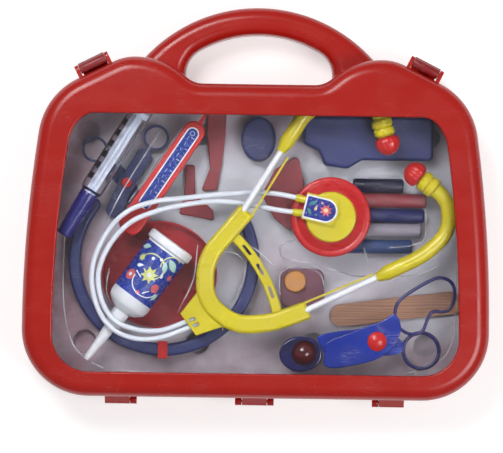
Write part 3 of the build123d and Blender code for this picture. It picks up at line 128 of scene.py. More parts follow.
def node(tree, kind, inputs=None, **settings):
    """A new shader node with its settings and inputs; inputs go by name or by number."""
    made = tree.nodes.new("ShaderNode" + kind)
    for name, value in settings.items():
        setattr(made, name, value)
    for key, value in (inputs or {}).items():
        feed(tree, made.inputs[key], value)
    return made


def sums(tree, operation, first, second):
    return node(tree, "Math", {0: first, 1: second}, operation=operation).outputs[0]


def mix_colour(tree, share, first, second, blend="MIX"):
    mixer = node(tree, "Mix", {0: share, 6: first, 7: second}, data_type="RGBA", blend_type=blend)
    return mixer.outputs[2]


def spread(tree, value, low, high, to_low=0.0, to_high=1.0):
    """value's stretch from low to high, mapped smoothly to to_low..to_high."""
    inputs = {"Value": value, 1: low, 2: high, 3: to_low, 4: to_high}
    return node(tree, "MapRange", inputs, interpolation_type="SMOOTHSTEP").outputs[0]


def cloud(tree, scale, detail=2.0, stretch=None, where=None):
    """A noise value over the piece's own coordinates, stretched if asked."""
    where = where or node(tree, "TexCoord").outputs["Object"]
    if stretch:
        where = node(tree, "Mapping", {"Vector": where, "Scale": stretch}).outputs[0]
    return node(tree, "TexNoise", {"Vector": where, "Scale": scale, "Detail": detail}).outputs[0]


def effect_group(name, inputs, outputs):
    """A shader node group with those named sockets, and its input and output nodes."""
    group = bpy.data.node_groups.new(name, "ShaderNodeTree")
    for label, kind, default in inputs:
        made = group.interface.new_socket(label, in_out="INPUT", socket_type="NodeSocket" + kind)
        made.default_value = (*default, 1) if kind == "Color" else default
    for label, kind in outputs:
        group.interface.new_socket(label, in_out="OUTPUT", socket_type="NodeSocket" + kind)
    return group, group.nodes.new("NodeGroupInput"), group.nodes.new("NodeGroupOutput")


def moulded_group():
    """Uneven tone, flow marks and fine grain of moulded plastic."""
    if "Moulded Plastic" in bpy.data.node_groups:
        return bpy.data.node_groups["Moulded Plastic"]
    tree, given, out = effect_group(
        "Moulded Plastic",
        [
            ("Colour", "Color", (0.8, 0.8, 0.8)),
            ("Tone Shift", "Float", 0.15),
            ("Roughness", "Float", 0.35),
            ("Grain Scale", "Float", 1400.0),
            ("Grain", "Float", 0.15),
        ],
        [("Colour", "Color"), ("Roughness", "Float"), ("Height", "Float")],
    )
    broad = cloud(tree, 22, 3)
    flow = cloud(tree, 40, 3, (1, 2, 1))
    fine = cloud(tree, 1, 2, where=node(
        tree, "VectorMath", {0: node(tree, "TexCoord").outputs["Object"], 3: given.outputs["Grain Scale"]},
        operation="SCALE").outputs[0])
    darker = mix_colour(tree, 1.0, given.outputs["Colour"], (0.62, 0.58, 0.6), "MULTIPLY")
    share = sums(tree, "MULTIPLY", spread(tree, broad, 0.35, 0.7), given.outputs["Tone Shift"])
    feed(tree, out.inputs["Colour"], mix_colour(tree, share, given.outputs["Colour"], darker))
    swing = spread(tree, flow, 0.3, 0.7, 0.88, 1.22)
    feed(tree, out.inputs["Roughness"], sums(tree, "MULTIPLY", given.outputs["Roughness"], swing))
    dimple = sums(tree, "MULTIPLY", fine, given.outputs["Grain"])
    feed(tree, out.inputs["Height"], sums(tree, "ADD", dimple, sums(tree, "MULTIPLY", flow, 0.05)))
    return tree


def scuff_group():
    """Fine handling scratches: a colour a little paler along them, and a rougher surface."""
    if "Scuffs" in bpy.data.node_groups:
        return bpy.data.node_groups["Scuffs"]
    tree, given, out = effect_group(
        "Scuffs",
        [("Colour", "Color", (0.8, 0.8, 0.8)), ("Roughness", "Float", 0.35), ("Amount", "Float", 0.3)],
        [("Colour", "Color"), ("Roughness", "Float"), ("Mask", "Float")],
    )
    where = node(tree, "TexCoord").outputs["Object"]
    lines = []
    for turn, scale in ((0.5, 60), (-0.9, 85)):
        turned = node(tree, "Mapping", {"Vector": where, "Rotation": (0.2, 0.1, turn), "Scale": (1, 14, 1)})
        cells = node(tree, "TexVoronoi", {"Vector": turned.outputs[0], "Scale": scale},
                     feature="DISTANCE_TO_EDGE")
        lines.append(spread(tree, cells.outputs[0], 0.0, 0.018, 1.0, 0.0))
    patches = spread(tree, cloud(tree, 38, 2), 0.5, 0.72)
    mask = sums(tree, "MULTIPLY", sums(tree, "MAXIMUM", *lines), patches)
    mask = sums(tree, "MULTIPLY", mask, given.outputs["Amount"])
    feed(tree, out.inputs["Colour"], mix_colour(tree, mask, given.outputs["Colour"], (0.85, 0.8, 0.8)))
    rougher = sums(tree, "ADD", given.outputs["Roughness"], sums(tree, "MULTIPLY", mask, 0.3))
    feed(tree, out.inputs["Roughness"], rougher)
    feed(tree, out.inputs["Mask"], mask)
    return tree


def add_relief(tree, shader, height, strength, depth):
    """Roughens the light on a surface by a height value."""
    relief = node(tree, "Bump", {"Height": height, "Strength": strength, "Distance": depth})
    feed(tree, shader.inputs["Normal"], relief.outputs[0])


def vary_roughness(tree, shader, scale, low, high):
    """A roughness that wanders between two values."""
    feed(tree, shader.inputs["Roughness"], spread(tree, cloud(tree, scale, 2), 0.3, 0.7, low, high))


def new_material(name):
    """A material, its node tree and its Principled shader."""
    material = bpy.data.materials.new(name)
    material.use_nodes = True
    return material, material.node_tree, material.node_tree.nodes["Principled BSDF"]


def plastic(name, colour, roughness=0.35, tone=0.25, grain=0.15, grain_scale=1400.0, scuffs=0.25, bump=0.05,
            coat=0.0, coat_roughness=0.1, glow=0.0):
    """A moulded plastic; glow is a share of light scattered under the surface."""
    if name in bpy.data.materials:
        return bpy.data.materials[name]
    material, tree, shader = new_material(name)
    moulded = node(tree, "Group", node_tree=moulded_group())
    for label, value in (("Colour", colour), ("Tone Shift", tone), ("Roughness", roughness),
                         ("Grain Scale", grain_scale), ("Grain", grain)):
        feed(tree, moulded.inputs[label], value)
    worn = node(tree, "Group", node_tree=scuff_group())
    feed(tree, worn.inputs["Colour"], moulded.outputs["Colour"])
    feed(tree, worn.inputs["Roughness"], moulded.outputs["Roughness"])
    feed(tree, worn.inputs["Amount"], scuffs)
    feed(tree, shader.inputs["Base Color"], worn.outputs["Colour"])
    feed(tree, shader.inputs["Roughness"], worn.outputs["Roughness"])
    add_relief(tree, shader, moulded.outputs["Height"], strength=bump, depth=0.0006)
    shader.inputs["Coat Weight"].default_value = coat
    shader.inputs["Coat Roughness"].default_value = coat_roughness
    if glow:
        shader.inputs["Subsurface Weight"].default_value = glow
        shader.inputs["Subsurface Radius"].default_value = (1.0, 0.6, 0.5)
        shader.inputs["Subsurface Scale"].default_value = 0.0015
    return material


def rub_streaks(material, pale, share):
    """Adds pale rubbed streaks along a piece that lies along X."""
    tree = material.node_tree
    socket = tree.nodes["Principled BSDF"].inputs["Base Color"]
    below = socket.links[0].from_socket
    mask = spread(tree, cloud(tree, 60, 3, (0.12, 1, 1)), 0.5, 0.72, 0.0, share)
    feed(tree, socket, mix_colour(tree, mask, below, pale))


def let_lamps_through(tree, shader):
    """Lamps shine through the piece, so that what lies behind it isn't in its shadow."""
    output = next(n for n in tree.nodes if n.type == "OUTPUT_MATERIAL")
    path = node(tree, "LightPath")
    clear = node(tree, "BsdfTransparent")
    mixer = node(tree, "MixShader", {0: path.outputs["Is Shadow Ray"]})
    tree.links.new(shader.outputs[0], mixer.inputs[1])
    tree.links.new(clear.outputs[0], mixer.inputs[2])
    tree.links.new(mixer.outputs[0], output.inputs["Surface"])


def clear_plastic(name, tint, roughness=0.04, waves=0.05, wave_scale=30.0, shine=0.5):
    """Clear moulded plastic or sheet, slightly wavy."""
    if name in bpy.data.materials:
        return bpy.data.materials[name]
    material, tree, shader = new_material(name)
    shader.inputs["Base Color"].default_value = (*tint, 1)
    shader.inputs["Transmission Weight"].default_value = 1
    shader.inputs["IOR"].default_value = 1.45
    shader.inputs["Specular IOR Level"].default_value = shine
    worn = node(tree, "Group", node_tree=scuff_group())
    feed(tree, worn.inputs["Roughness"], roughness)
    feed(tree, worn.inputs["Amount"], 0.35)
    feed(tree, shader.inputs["Roughness"], worn.outputs["Roughness"])
    add_relief(tree, shader, cloud(tree, wave_scale, 2), strength=waves, depth=0.002)
    let_lamps_through(tree, shader)
    return material


def film_material():
    """The formed film over the lower tools: clear, with a faint haze in drifts and a few creases."""
    material, tree, shader = new_material("Cloudy Film")
    drifts = spread(tree, cloud(tree, 16, 4), 0.3, 0.72)
    tint = mix_colour(tree, drifts, paint(140, 124, 138), paint(186, 184, 196))
    feed(tree, shader.inputs["Base Color"], tint)
    haze = spread(tree, cloud(tree, 9, 3), 0.36, 0.75, 0.0, 0.015)
    creases = spread(tree, cloud(tree, 30, 4, (1, 3.5, 1)), 0.6, 0.7, 0.0, 0.03)
    feed(tree, shader.inputs["Alpha"], sums(tree, "ADD", haze, creases))
    vary_roughness(tree, shader, 120, 0.12, 0.26)
    shader.inputs["Specular IOR Level"].default_value = 0.15
    add_relief(tree, shader, cloud(tree, 60, 3), strength=0.5, depth=0.002)
    return material


def formed_edge_glint_material():
    """A formed edge of the film: a little thicker, and painted pale and glossy, so that it shows as a painted
    glint line.
    """
    material, tree, shader = new_material("Formed Edge")
    shades = spread(tree, cloud(tree, 55, 3), 0.35, 0.7)
    tint = mix_colour(tree, shades, paint(150, 146, 158), paint(236, 238, 244))
    feed(tree, shader.inputs["Base Color"], tint)
    feed(tree, shader.inputs["Alpha"], spread(tree, cloud(tree, 40, 3), 0.35, 0.68, 0.12, 0.6))
    vary_roughness(tree, shader, 200, 0.08, 0.2)
    return material


def liner_material():
    """The formed liner: lilac grey with mauve patches, painted shade towards its left, upper and lower walls,
    and the faint mottle of thin formed sheet.
    """
    material, tree, shader = new_material("Formed Liner")
    palette = colours()
    place = node(tree, "SeparateXYZ", {0: node(tree, "TexCoord").outputs["Object"]})
    # painted shade: the liner darkens towards its left, upper and lower walls, where the lid frame shades it
    left = spread(tree, place.outputs[0], -0.085, -0.125, 0.0, 0.9)
    upper = spread(tree, place.outputs[1], 0.02, 0.055, 0.0, 0.6)
    lower = spread(tree, place.outputs[1], -0.075, -0.1, 0.0, 0.6)
    # drawn holds the painted shade by the walls
    drawn = sums(tree, "MAXIMUM", left, sums(tree, "MAXIMUM", upper, lower))
    patches = sums(tree, "MAXIMUM", spread(tree, cloud(tree, 7.5, 3), 0.5, 0.7, 0.0, 0.6), drawn)
    base = mix_colour(tree, patches, tuple(palette.liner), tuple(palette.liner_shade))
    mottle = spread(tree, cloud(tree, 60, 5), 0.35, 0.75, 0.0, 0.3)
    feed(tree, shader.inputs["Base Color"], mix_colour(tree, mottle, base, paint(206, 204, 212)))
    vary_roughness(tree, shader, 90, 0.34, 0.55)
    add_relief(tree, shader, cloud(tree, 180, 4), strength=0.3, depth=0.001)
    return material


def wood_look_plastic(name, pale, dark):
    """Moulded plastic with a printed grain along its length."""
    material, tree, shader = new_material(name)
    where = node(tree, "TexCoord").outputs["Object"]
    along = node(tree, "Mapping", {"Vector": where, "Rotation": (0, 0, radians(-7)), "Scale": (0.08, 1, 1)})
    rings = node(tree, "TexWave", {"Vector": along.outputs[0], "Scale": 160, "Distortion": 6, "Detail": 3},
                 bands_direction="Y")
    share = spread(tree, rings.outputs[1], 0.2, 0.9)
    feed(tree, shader.inputs["Base Color"], mix_colour(tree, share, pale, dark))
    feed(tree, shader.inputs["Roughness"], spread(tree, share, 0, 1, 0.45, 0.6))
    add_relief(tree, shader, share, strength=0.15, depth=0.0005)
    return material


def print_ink(name, colour, roughness=0.4, worn=0.3):
    """Screen-printed ink: nearly even, with small pinholes and a fine edge to its sheen."""
    if name in bpy.data.materials:
        return bpy.data.materials[name]
    material, tree, shader = new_material(name)
    specks = spread(tree, cloud(tree, 900, 2), 0.62, 0.74, 0.0, worn)
    thin = spread(tree, cloud(tree, 150, 2), 0.3, 0.7, 0.0, 0.25)
    tone = mix_colour(tree, thin, colour, (0.02, 0.02, 0.05))
    feed(tree, shader.inputs["Base Color"], mix_colour(tree, specks, tone, (0.8, 0.8, 0.82)))
    vary_roughness(tree, shader, 400, roughness - 0.08, roughness)
    return material


INKS = {
    "White": (222, 224, 230), "Cream": (226, 230, 232), "Sand": (226, 196, 150), "Coral": (206, 92, 92),
    "Lime": (206, 212, 112), "Pale Green": (166, 206, 190), "Teal": (58, 138, 130),
    "Pale Blue": (150, 172, 216),
}


def ink(name):
    """One of the inks of the small prints."""
    return print_ink("Ink " + name, paint(*INKS[name]), 0.35)


def steel_material():
    """Drawn steel wire."""
    material, tree, shader = new_material("Pin Steel")
    drawn = cloud(tree, 300, 2, (0.05, 1, 1))
    tone = mix_colour(tree, spread(tree, drawn, 0.3, 0.7), paint(150, 150, 154), paint(196, 197, 200))
    feed(tree, shader.inputs["Base Color"], tone)
    shader.inputs["Metallic"].default_value = 1
    feed(tree, shader.inputs["Roughness"], spread(tree, drawn, 0.3, 0.7, 0.25, 0.42))
    return material


# ---- mesh helpers --------------------------------------------------------------------------------
MERGE_WITHIN = 1e-6
WELD_WITHIN = 2e-6
SHARP_FROM = 40.0  # degrees
PRINT_SHARP_FROM = 80.0
TIP_SHARP_FROM = 60.0


def in_metres(place):
    """A place given in millimetres, in metres."""
    return tuple(value * MM for value in place)


def lying(start, end, height):
    """A matrix whose X runs level from start towards end and whose Z is up."""
    along = Vector((end[0] - start[0], end[1] - start[1], 0)).normalized()
    across = Vector((-along.y, along.x, 0))
    turn = Matrix((along, across, Vector((0, 0, 1)))).transposed().to_4x4()
    return Matrix.Translation((start[0], start[1], height)) @ turn


def make_piece(name, mesh, material, sharp, stands_for=(), place=None):
    """A new piece from a bmesh, smooth up to that many degrees, riding on the case's base."""
    bmesh.ops.remove_doubles(mesh, verts=mesh.verts, dist=MERGE_WITHIN)
    bmesh.ops.recalc_face_normals(mesh, faces=mesh.faces)
    for face in mesh.faces:
        face.smooth = True
    for edge in mesh.edges:
        if len(edge.link_faces) == 2 and edge.calc_face_angle() > radians(sharp):
            edge.smooth = False
    data = bpy.data.meshes.new(name)
    mesh.to_mesh(data)
    mesh.free()
    made = bpy.data.objects.new(name, data)
    bpy.context.scene.collection.objects.link(made)
    data.materials.append(material)
    if place is not None:
        made.matrix_world = place
    return join_in(made, "base", stands_for)


def lathe(profile, steps=96):
    """A bmesh of the (along, radius) profile turned about X; ends at radius 0 are closed."""
    mesh = bmesh.new()
    rings = []
    for along, radius in profile:
        if radius <= 0:
            rings.append([mesh.verts.new((along, 0, 0))])
            continue
        turns = [2 * pi * k / steps for k in range(steps)]
        rings.append([mesh.verts.new((along, radius * cos(t), radius * sin(t))) for t in turns])
    for low, high in zip(rings, rings[1:]):
        for k in range(steps):
            lower = [low[k % len(low)], low[(k + 1) % len(low)]]
            upper = [high[(k + 1) % len(high)], high[k % len(high)]]
            unique = list(dict.fromkeys(lower + upper))
            if len(unique) > 2:
                mesh.faces.new(unique)
    return mesh


def dress(name, material, edge=None):
    """Gives a CAD node its material, and rounds its sharp edges by that much."""
    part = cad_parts[name]
    part.data.materials.clear()
    part.data.materials.append(material)
    if edge:
        weld = part.modifiers.new("Weld", "WELD")
        weld.merge_threshold = WELD_WITHIN
        bevel = part.modifiers.new("Edge Rounding", "BEVEL")
        bevel.width = edge
        bevel.segments = 3
        bevel.limit_method = "ANGLE"
        bevel.angle_limit = radians(SHARP_FROM)
        bevel.use_clamp_overlap = True
        bevel.harden_normals = True
    return part


def nurbs_tube(name, points, diameter, material):
    """A round tube whose centreline is one NURBS spline with those control points."""
    curve = bpy.data.curves.new(name, "CURVE")
    curve.dimensions = "3D"
    curve.bevel_depth = diameter / 2
    curve.bevel_resolution = 6
    curve.resolution_u = 10
    curve.use_fill_caps = True
    spline = curve.splines.new("NURBS")
    spline.points.add(len(points) - 1)
    for point, place in zip(spline.points, points):
        point.co = (*place, 1)
    spline.order_u = 3
    spline.use_endpoint_u = True
    made = bpy.data.objects.new(name, curve)
    bpy.context.scene.collection.objects.link(made)
    curve.materials.append(material)
    return made


def outline_shape(kind, size, turns=28):
    """The outline of a small printed mark, about its middle."""
    if kind == "disc":
        return [(size * cos(2 * pi * k / turns), size * sin(2 * pi * k / turns)) for k in range(turns)]
    if kind == "bar":
        return [(-size, -size / 7), (size, -size / 7), (size, size / 7), (-size, size / 7)]
    if kind == "burst":
        spokes = [(2 * pi * k / 16, size if k % 2 else size * 0.55) for k in range(16)]
        return [(reach * cos(turn), reach * sin(turn)) for turn, reach in spokes]
    if kind == "drop":
        turns_round = [2 * pi * k / turns for k in range(turns)]
        return [(size * cos(t), size * 0.6 * sin(t) * sin(t / 2) ** 1.5) for t in turns_round]
    if kind == "leaf":
        half = [(size * (2 * k / 12 - 1), size * 0.42 * sin(pi * k / 12)) for k in range(13)]
        return half + [(x, -y) for x, y in reversed(half[1:-1])]
    raise ValueError("no printed mark is called " + kind)


def printed_marks(name, marks, surface, material, rings=5):
    """Flat marks of one ink laid on a surface: surface(u, v) gives the point, lifted by the ink."""
    mesh = bmesh.new()
    for kind, u, v, size, turn in marks:
        outline = outline_shape(kind, size * MM)
        c, s = cos(radians(turn)), sin(radians(turn))
        middle = mesh.verts.new(surface(u * MM, v * MM))
        last = None
        for ring in range(1, rings + 1):
            share = ring / rings
            spots = [(u * MM + share * (x * c - y * s), v * MM + share * (x * s + y * c))
                     for x, y in outline]
            current = [mesh.verts.new(surface(*spot)) for spot in spots]
            for k in range(len(current)):
                after = (k + 1) % len(current)
                if last:
                    mesh.faces.new((last[k], last[after], current[after], current[k]))
                else:
                    mesh.faces.new((middle, current[after], current[k]))
            last = current
    return make_piece(name, mesh, material, PRINT_SHARP_FROM)


# ---- pieces along lines and outlines -------------------------------------------------------------
def smooth_plate(name, outline, low, high, edge, material, body, stands_for):
    """A plate with rounded edges between two heights; its outline is a smooth closed loop."""
    curve = bpy.data.curves.new(name, "CURVE")
    curve.dimensions = "2D"
    curve.fill_mode = "BOTH"
    curve.extrude = (high - low) * MM / 2 - edge
    curve.bevel_depth = edge
    curve.offset = -edge
    curve.bevel_resolution = 3
    curve.resolution_u = 8
    spline = curve.splines.new("NURBS")
    spline.points.add(len(outline) - 1)
    for point, (x, y) in zip(spline.points, outline):
        point.co = (x * MM, y * MM, 0, 1)
    spline.order_u = 3
    spline.use_cyclic_u = True
    curve.materials.append(material)
    made = bpy.data.objects.new(name, curve)
    made.location.z = (low + high) * MM / 2
    return join_in(made, body, stands_for)


def join_in(made, body, stands_for):
    """Links a piece to the scene, lets it ride, and hides the CAD parts that it stands for."""
    if made.name not in bpy.context.scene.collection.objects:
        bpy.context.scene.collection.objects.link(made)
    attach(made, body)
    if stands_for:
        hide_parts(*stands_for)
    return made


def bent_wire(name, points, diameter, material, body="base", closed=False):
    """A round wire along one smooth line through the neighbourhood of those points, in millimetres."""
    wire = nurbs_tube(name, [in_metres(point) for point in points], diameter * MM, material)
    if closed:
        wire.data.splines[0].use_endpoint_u = False
        wire.data.splines[0].use_cyclic_u = True
    return join_in(wire, body, ())


def stroke(path, width):
    """A bmesh ribbon of that width along a path of (u, v) places; the caller lifts it to a surface."""
    mesh = bmesh.new()
    places = [Vector(place) for place in path]
    rails = []
    for k, here in enumerate(places):
        along = places[min(k + 1, len(places) - 1)] - places[max(k - 1, 0)]
        side = Vector((-along.y, along.x)).normalized() * width / 2
        rails.append([mesh.verts.new((*(here + side * share), 0)) for share in (-1, 0, 1)])
    for last, after in zip(rails, rails[1:]):
        for k in range(2):
            mesh.faces.new((last[k], last[k + 1], after[k + 1], after[k]))
    return mesh


def arc_path(u, v, radius, start, end, pull=1.0, steps=28):
    """Places along an arc about (u, v), in metres; pull stretches it across."""
    turns = [radians(start + (end - start) * k / steps) for k in range(steps + 1)]
    return [((u + radius * cos(t)) * MM, (v + pull * radius * sin(t)) * MM) for t in turns]


def printed_stroke(name, path, width, surface, material):
    """A printed line of even width, in millimetres, along a path."""
    mesh = stroke(path, width * MM)
    for vert in mesh.verts:
        vert.co = surface(vert.co.x, vert.co.y)
    return make_piece(name, mesh, material, PRINT_SHARP_FROM)


def printed_field(name, outline, surface, material, rings=6):
    """A filled shape laid on a surface; the outline is given in metres about its own middle."""
    mesh = bmesh.new()
    middle_u = sum(u for u, v in outline) / len(outline)
    middle_v = sum(v for u, v in outline) / len(outline)
    last = None
    for ring in range(1, rings + 1):
        share = ring / rings
        spots = [(middle_u + share * (u - middle_u), middle_v + share * (v - middle_v)) for u, v in outline]
        current = [mesh.verts.new(surface(*spot)) for spot in spots]
        if last is None:
            mesh.faces.new(current)
        else:
            for k in range(len(current)):
                after = (k + 1) % len(current)
                mesh.faces.new((last[k], last[after], current[after], current[k]))
        last = current
    return make_piece(name, mesh, material, PRINT_SHARP_FROM)


def rounded_box(start, end, half, round_start, round_end, steps=10):
    """The outline, in metres, of a strip from start to end along u with its corners rounded."""
    outline = []
    corners = ((end, half, round_end, 0), (start, half, round_start, 90),
               (start, -half, round_start, 180), (end, -half, round_end, 270))
    for u, v, radius, first in corners:
        centre_u = u - radius * (1 if u == end else -1)
        centre_v = v - radius * (1 if v > 0 else -1)
        for k in range(steps + 1):
            turn = radians(first + 90 * k / steps)
            outline.append(((centre_u + radius * cos(turn)) * MM, (centre_v + radius * sin(turn)) * MM))
    return outline


def flat_surface(place, lift):
    """Maps (u, v) to a plane with that matrix, lifted by that many metres."""
    return lambda u, v: place @ Vector((u, v, lift))


def round_surface(place, radius, lift):
    """Maps (u, v) to a lying cylinder: u along its axis, v round it from its top line."""
    reach = radius + lift
    return lambda u, v: place @ Vector((u, reach * sin(v / reach), reach * cos(v / reach)))


# ---- operators -----------------------------------------------------------------------------------
# the camera stands far off, so that what lies deep in the case is hardly smaller than the lid
CAMERA_AT = (-3.7, -13.9, 2400.0)  # millimetres
CAMERA_TURN = 0.85  # degrees about its own line of sight
CAMERA_LENS = 246.7  # millimetres
CAMERA_SENSOR = 36.0
# name, place in metres, power in watts
LAMPS = (("Key Lamp", (-0.4, 0.6, 1.2), 8.3), ("Right Lamp", (0.62, -0.3, 1.15), 5.6))
LAMP_SIZE = 0.5
FLOOR_HALF = 2.5
FLOOR_DROP = 0.0003  # keeps the floor clear of the case's underside
WORLD_LIGHT = 0.24


class DOCTORCASE_OT_stage(bpy.types.Operator):
    """Adds the floor, the soft studio lamps, the white surroundings and the camera"""

    bl_idname = "doctor_case.stage"
    bl_label = "Studio Stage"

    def execute(self, context):
        scene = context.scene
        scene.view_settings.view_transform = "Standard"
        mesh = bmesh.new()
        bmesh.ops.create_grid(mesh, x_segments=8, y_segments=8, size=FLOOR_HALF)
        data = bpy.data.meshes.new("studio_floor")
        mesh.to_mesh(data)
        mesh.free()
        floor = bpy.data.objects.new("studio_floor", data)
        floor.location.z = -FLOOR_DROP
        scene.collection.objects.link(floor)
        data.materials.append(self.floor_material())
        self.surroundings(scene)
        for name, where, power in LAMPS:
            self.lamp(name, where, power)
        self.camera(scene)
        return {"FINISHED"}

    def floor_material(self):
        """White to the camera, and still darker where the case shades it."""
        material = bpy.data.materials.new("Studio Floor")
        material.use_nodes = True
        tree = material.node_tree
        tree.nodes.clear()
        seen = node(tree, "LightPath")
        pale = node(tree, "BsdfDiffuse", {"Color": (0.86, 0.86, 0.86)})
        direct = sums(tree, "MAXIMUM", seen.outputs["Is Camera Ray"], seen.outputs["Is Glossy Ray"])
        direct = sums(tree, "MAXIMUM", direct, seen.outputs["Is Transmission Ray"])
        strength = sums(tree, "MULTIPLY", direct, 0.5)
        white = node(tree, "Emission", {"Color": (1, 1, 1), "Strength": strength})
        both = node(tree, "AddShader")
        tree.links.new(pale.outputs[0], both.inputs[0])
        tree.links.new(white.outputs[0], both.inputs[1])
        tree.links.new(both.outputs[0], node(tree, "OutputMaterial").inputs["Surface"])
        return material

    def surroundings(self, scene):
        """An even soft light from all round, that the camera sees as white."""
        world = bpy.data.worlds.new("Studio Surroundings")
        world.use_nodes = True
        tree = world.node_tree
        seen = node(tree, "LightPath").outputs["Is Camera Ray"]
        strength = spread(tree, seen, 0, 1, WORLD_LIGHT, 1.0)
        feed(tree, tree.nodes["Background"].inputs["Strength"], strength)
        tree.nodes["Background"].inputs["Color"].default_value = (1, 1, 1, 1)
        scene.world = world

    def lamp(self, name, where, power):
        """A square soft lamp aimed at the case."""
        light = bpy.data.lights.new(name, "AREA")
        light.size = LAMP_SIZE
        light.energy = power
        made = bpy.data.objects.new(name, light)
        made.location = where
        made.rotation_euler = (-Vector(where)).to_track_quat("-Z", "Y").to_euler()
        bpy.context.scene.collection.objects.link(made)

    def camera(self, scene):
        """The camera straight above the window."""
        lens = bpy.data.cameras.new("Camera")
        lens.sensor_width = CAMERA_SENSOR
        lens.lens = CAMERA_LENS
        lens.clip_start = 0.01
        made = bpy.data.objects.new("Camera", lens)
        made.location = in_metres(CAMERA_AT)
        made.rotation_euler = (0, 0, radians(CAMERA_TURN))
        scene.collection.objects.link(made)
        scene.camera = made


# each hose's length in metres, and its route in millimetres from the chest piece to the clip
HOSE_OUTER = 0.2798, (
    (29.6, 5.7, 35.6), (18.5, 8.3, 34.3), (4.5, 9.7, 29.3), (-14.0, 9.0, 28.7),
    (-33.0, 7.2, 28.9), (-52.0, 4.7, 31.4), (-71.0, 2.7, 37.9), (-91.0, -4.6, 38.2),
    (-105.6, -22.0, 37.0), (-114.0, -45.0, 36.6), (-110.6, -68.5, 37.4), (-100.0, -85.5, 38.4),
    (-83.5, -92.6, 37.9), (-66.0, -92.0, 34.0), (-50.5, -85.9, 31.2), (-37.6, -80.6, 31.0),
)
HOSE_INNER = 0.2540, (
    (27.6, -3.9, 35.6), (16.5, -2.7, 34.3), (3.0, -0.3, 29.3), (-14.0, 2.6, 28.7),
    (-32.0, 3.2, 28.9), (-50.0, 0.4, 31.6), (-67.0, -3.4, 37.8), (-87.3, -11.2, 38.2),
    (-101.6, -27.6, 37.0), (-109.4, -47.2, 36.6), (-106.4, -66.6, 37.4), (-97.0, -81.2, 38.4),
    (-80.5, -86.4, 37.8), (-65.5, -86.9, 33.6), (-52.6, -82.1, 31.2), (-40.2, -76.9, 31.0),
)


class DOCTORCASE_OT_hoses(bpy.types.Operator):
    """Lays the two hoses from the chest piece round to the headset's clip"""

    bl_idname = "doctor_case.hoses"
    bl_label = "Stethoscope Hoses"

    def execute(self, context):
        material = plastic("Hose White", paint(204, 210, 219), 0.28, 0.08, 0.1, scuffs=0.15, glow=0.15)
        across = sizes().hose
        for cad_name, (length, route) in (("steth_hose_outer", HOSE_OUTER), ("steth_hose_inner", HOSE_INNER)):
            points = [in_metres(point) for point in route]
            tube = nurbs_tube(cad_name + "_tube", points, across, material)
            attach(tube, "base")
            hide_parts(cad_name)
        return {"FINISHED"}


class DOCTORCASE_OT_shell(bpy.types.Operator):
    """Finishes the red base and lid, the latches and the wire pins"""

    bl_idname = "doctor_case.shell"
    bl_label = "Case and Latches"

    def execute(self, context):
        palette = colours()
        red = plastic("Moulded Red", tuple(palette.shell), 0.24, 0.14, 0.2, scuffs=0.1, bump=0.05)
        crimson = plastic("Latch Crimson", tuple(palette.latch), 0.3, 0.25, 0.25, scuffs=0.25, bump=0.06)
        edge = sizes().edge
        dress("base_shell", red, edge)
        dress("lid_frame", red, edge)
        for name in ("latch_left", "latch_right"):
            dress(name, crimson, edge)
        steel = steel_material()
        for name in ("hinge_pins", "latch_pins"):
            dress(name, steel)
        return {"FINISHED"}


class DOCTORCASE_OT_window(bpy.types.Operator):
    """Makes the lid's window a clear, faintly wavy sheet"""

    bl_idname = "doctor_case.window"
    bl_label = "Window"

    def execute(self, context):
        dress("window_sheet", clear_plastic("Window Clear", (0.97, 0.975, 1.0), 0.03, 0.05, 14, shine=0.12))
        return {"FINISHED"}


# routes of the film's formed edges; each is drawn as a pale line that paints the glint of light along it
FORMED_EDGE_GLINTS = (
    ("tongue", ((79.0, -46.5), (68.8, -47.9), (57.1, -43.8), (41.8, -39.6), (32.7, -37.6), (24.4, -36.9),
                (17.6, -35.4), (15.6, -29.4), (18.2, -24.0), (25.4, -23.2))),
    ("strap_side", ((-12.0, -17.5), (-9.1, -25.3), (3.5, -31.2), (14.1, -43.7))),
    ("dish_side", ((-40.5, -27.0), (-41.4, -37.0), (-42.2, -49.0), (-46.6, -60.0), (-53.8, -74.0))),
    ("dish_foot", ((-101.0, -44.0), (-104.5, -58.0), (-99.0, -70.0), (-92.0, -77.0))),
    ("pill_side", ((47.0, -62.5), (47.4, -52.0), (43.0, -43.8), (30.0, -41.0), (18.6, -42.6), (14.9, -50.5),
                   (17.0, -61.0))),
    ("eye", ((-27.5, -33.5), (-17.0, -30.4), (-8.2, -37.0), (-7.6, -48.5), (-11.4, -58.5), (-17.0, -66.5))),
    ("thermometer_side", ((-50.5, 55.5), (-70.5, 27.8), (-88.5, 1.5))),
    ("syringe_side", ((-68.0, 50.0), (-82.6, 27.0), (-97.8, 1.0), (-103.0, -12.0))),
    ("scissors_side", ((88.2, -46.5), (102.6, -46.9), (115.4, -45.0), (123.8, -39.6))),
    ("vial_box", ((116.2, -1.0), (116.6, -12.0), (116.0, -22.6), (104.0, -26.4), (92.0, -27.0))),
    ("vial_foot", ((74.0, -27.4), (74.6, -32.0), (76.6, -36.4))),
    ("wall_left", ((-131.6, -16.0), (-133.6, -49.5), (-131.4, -82.0), (-121.9, -106.0), (-104.0, -113.0))),
    ("wall_low", ((-96.0, -114.6), (-50.0, -115.4), (-2.0, -115.2))),
    ("wall_right", ((137.5, -22.0), (138.6, -58.0), (137.0, -92.0), (126.0, -108.5), (104.0, -113.6))),
)


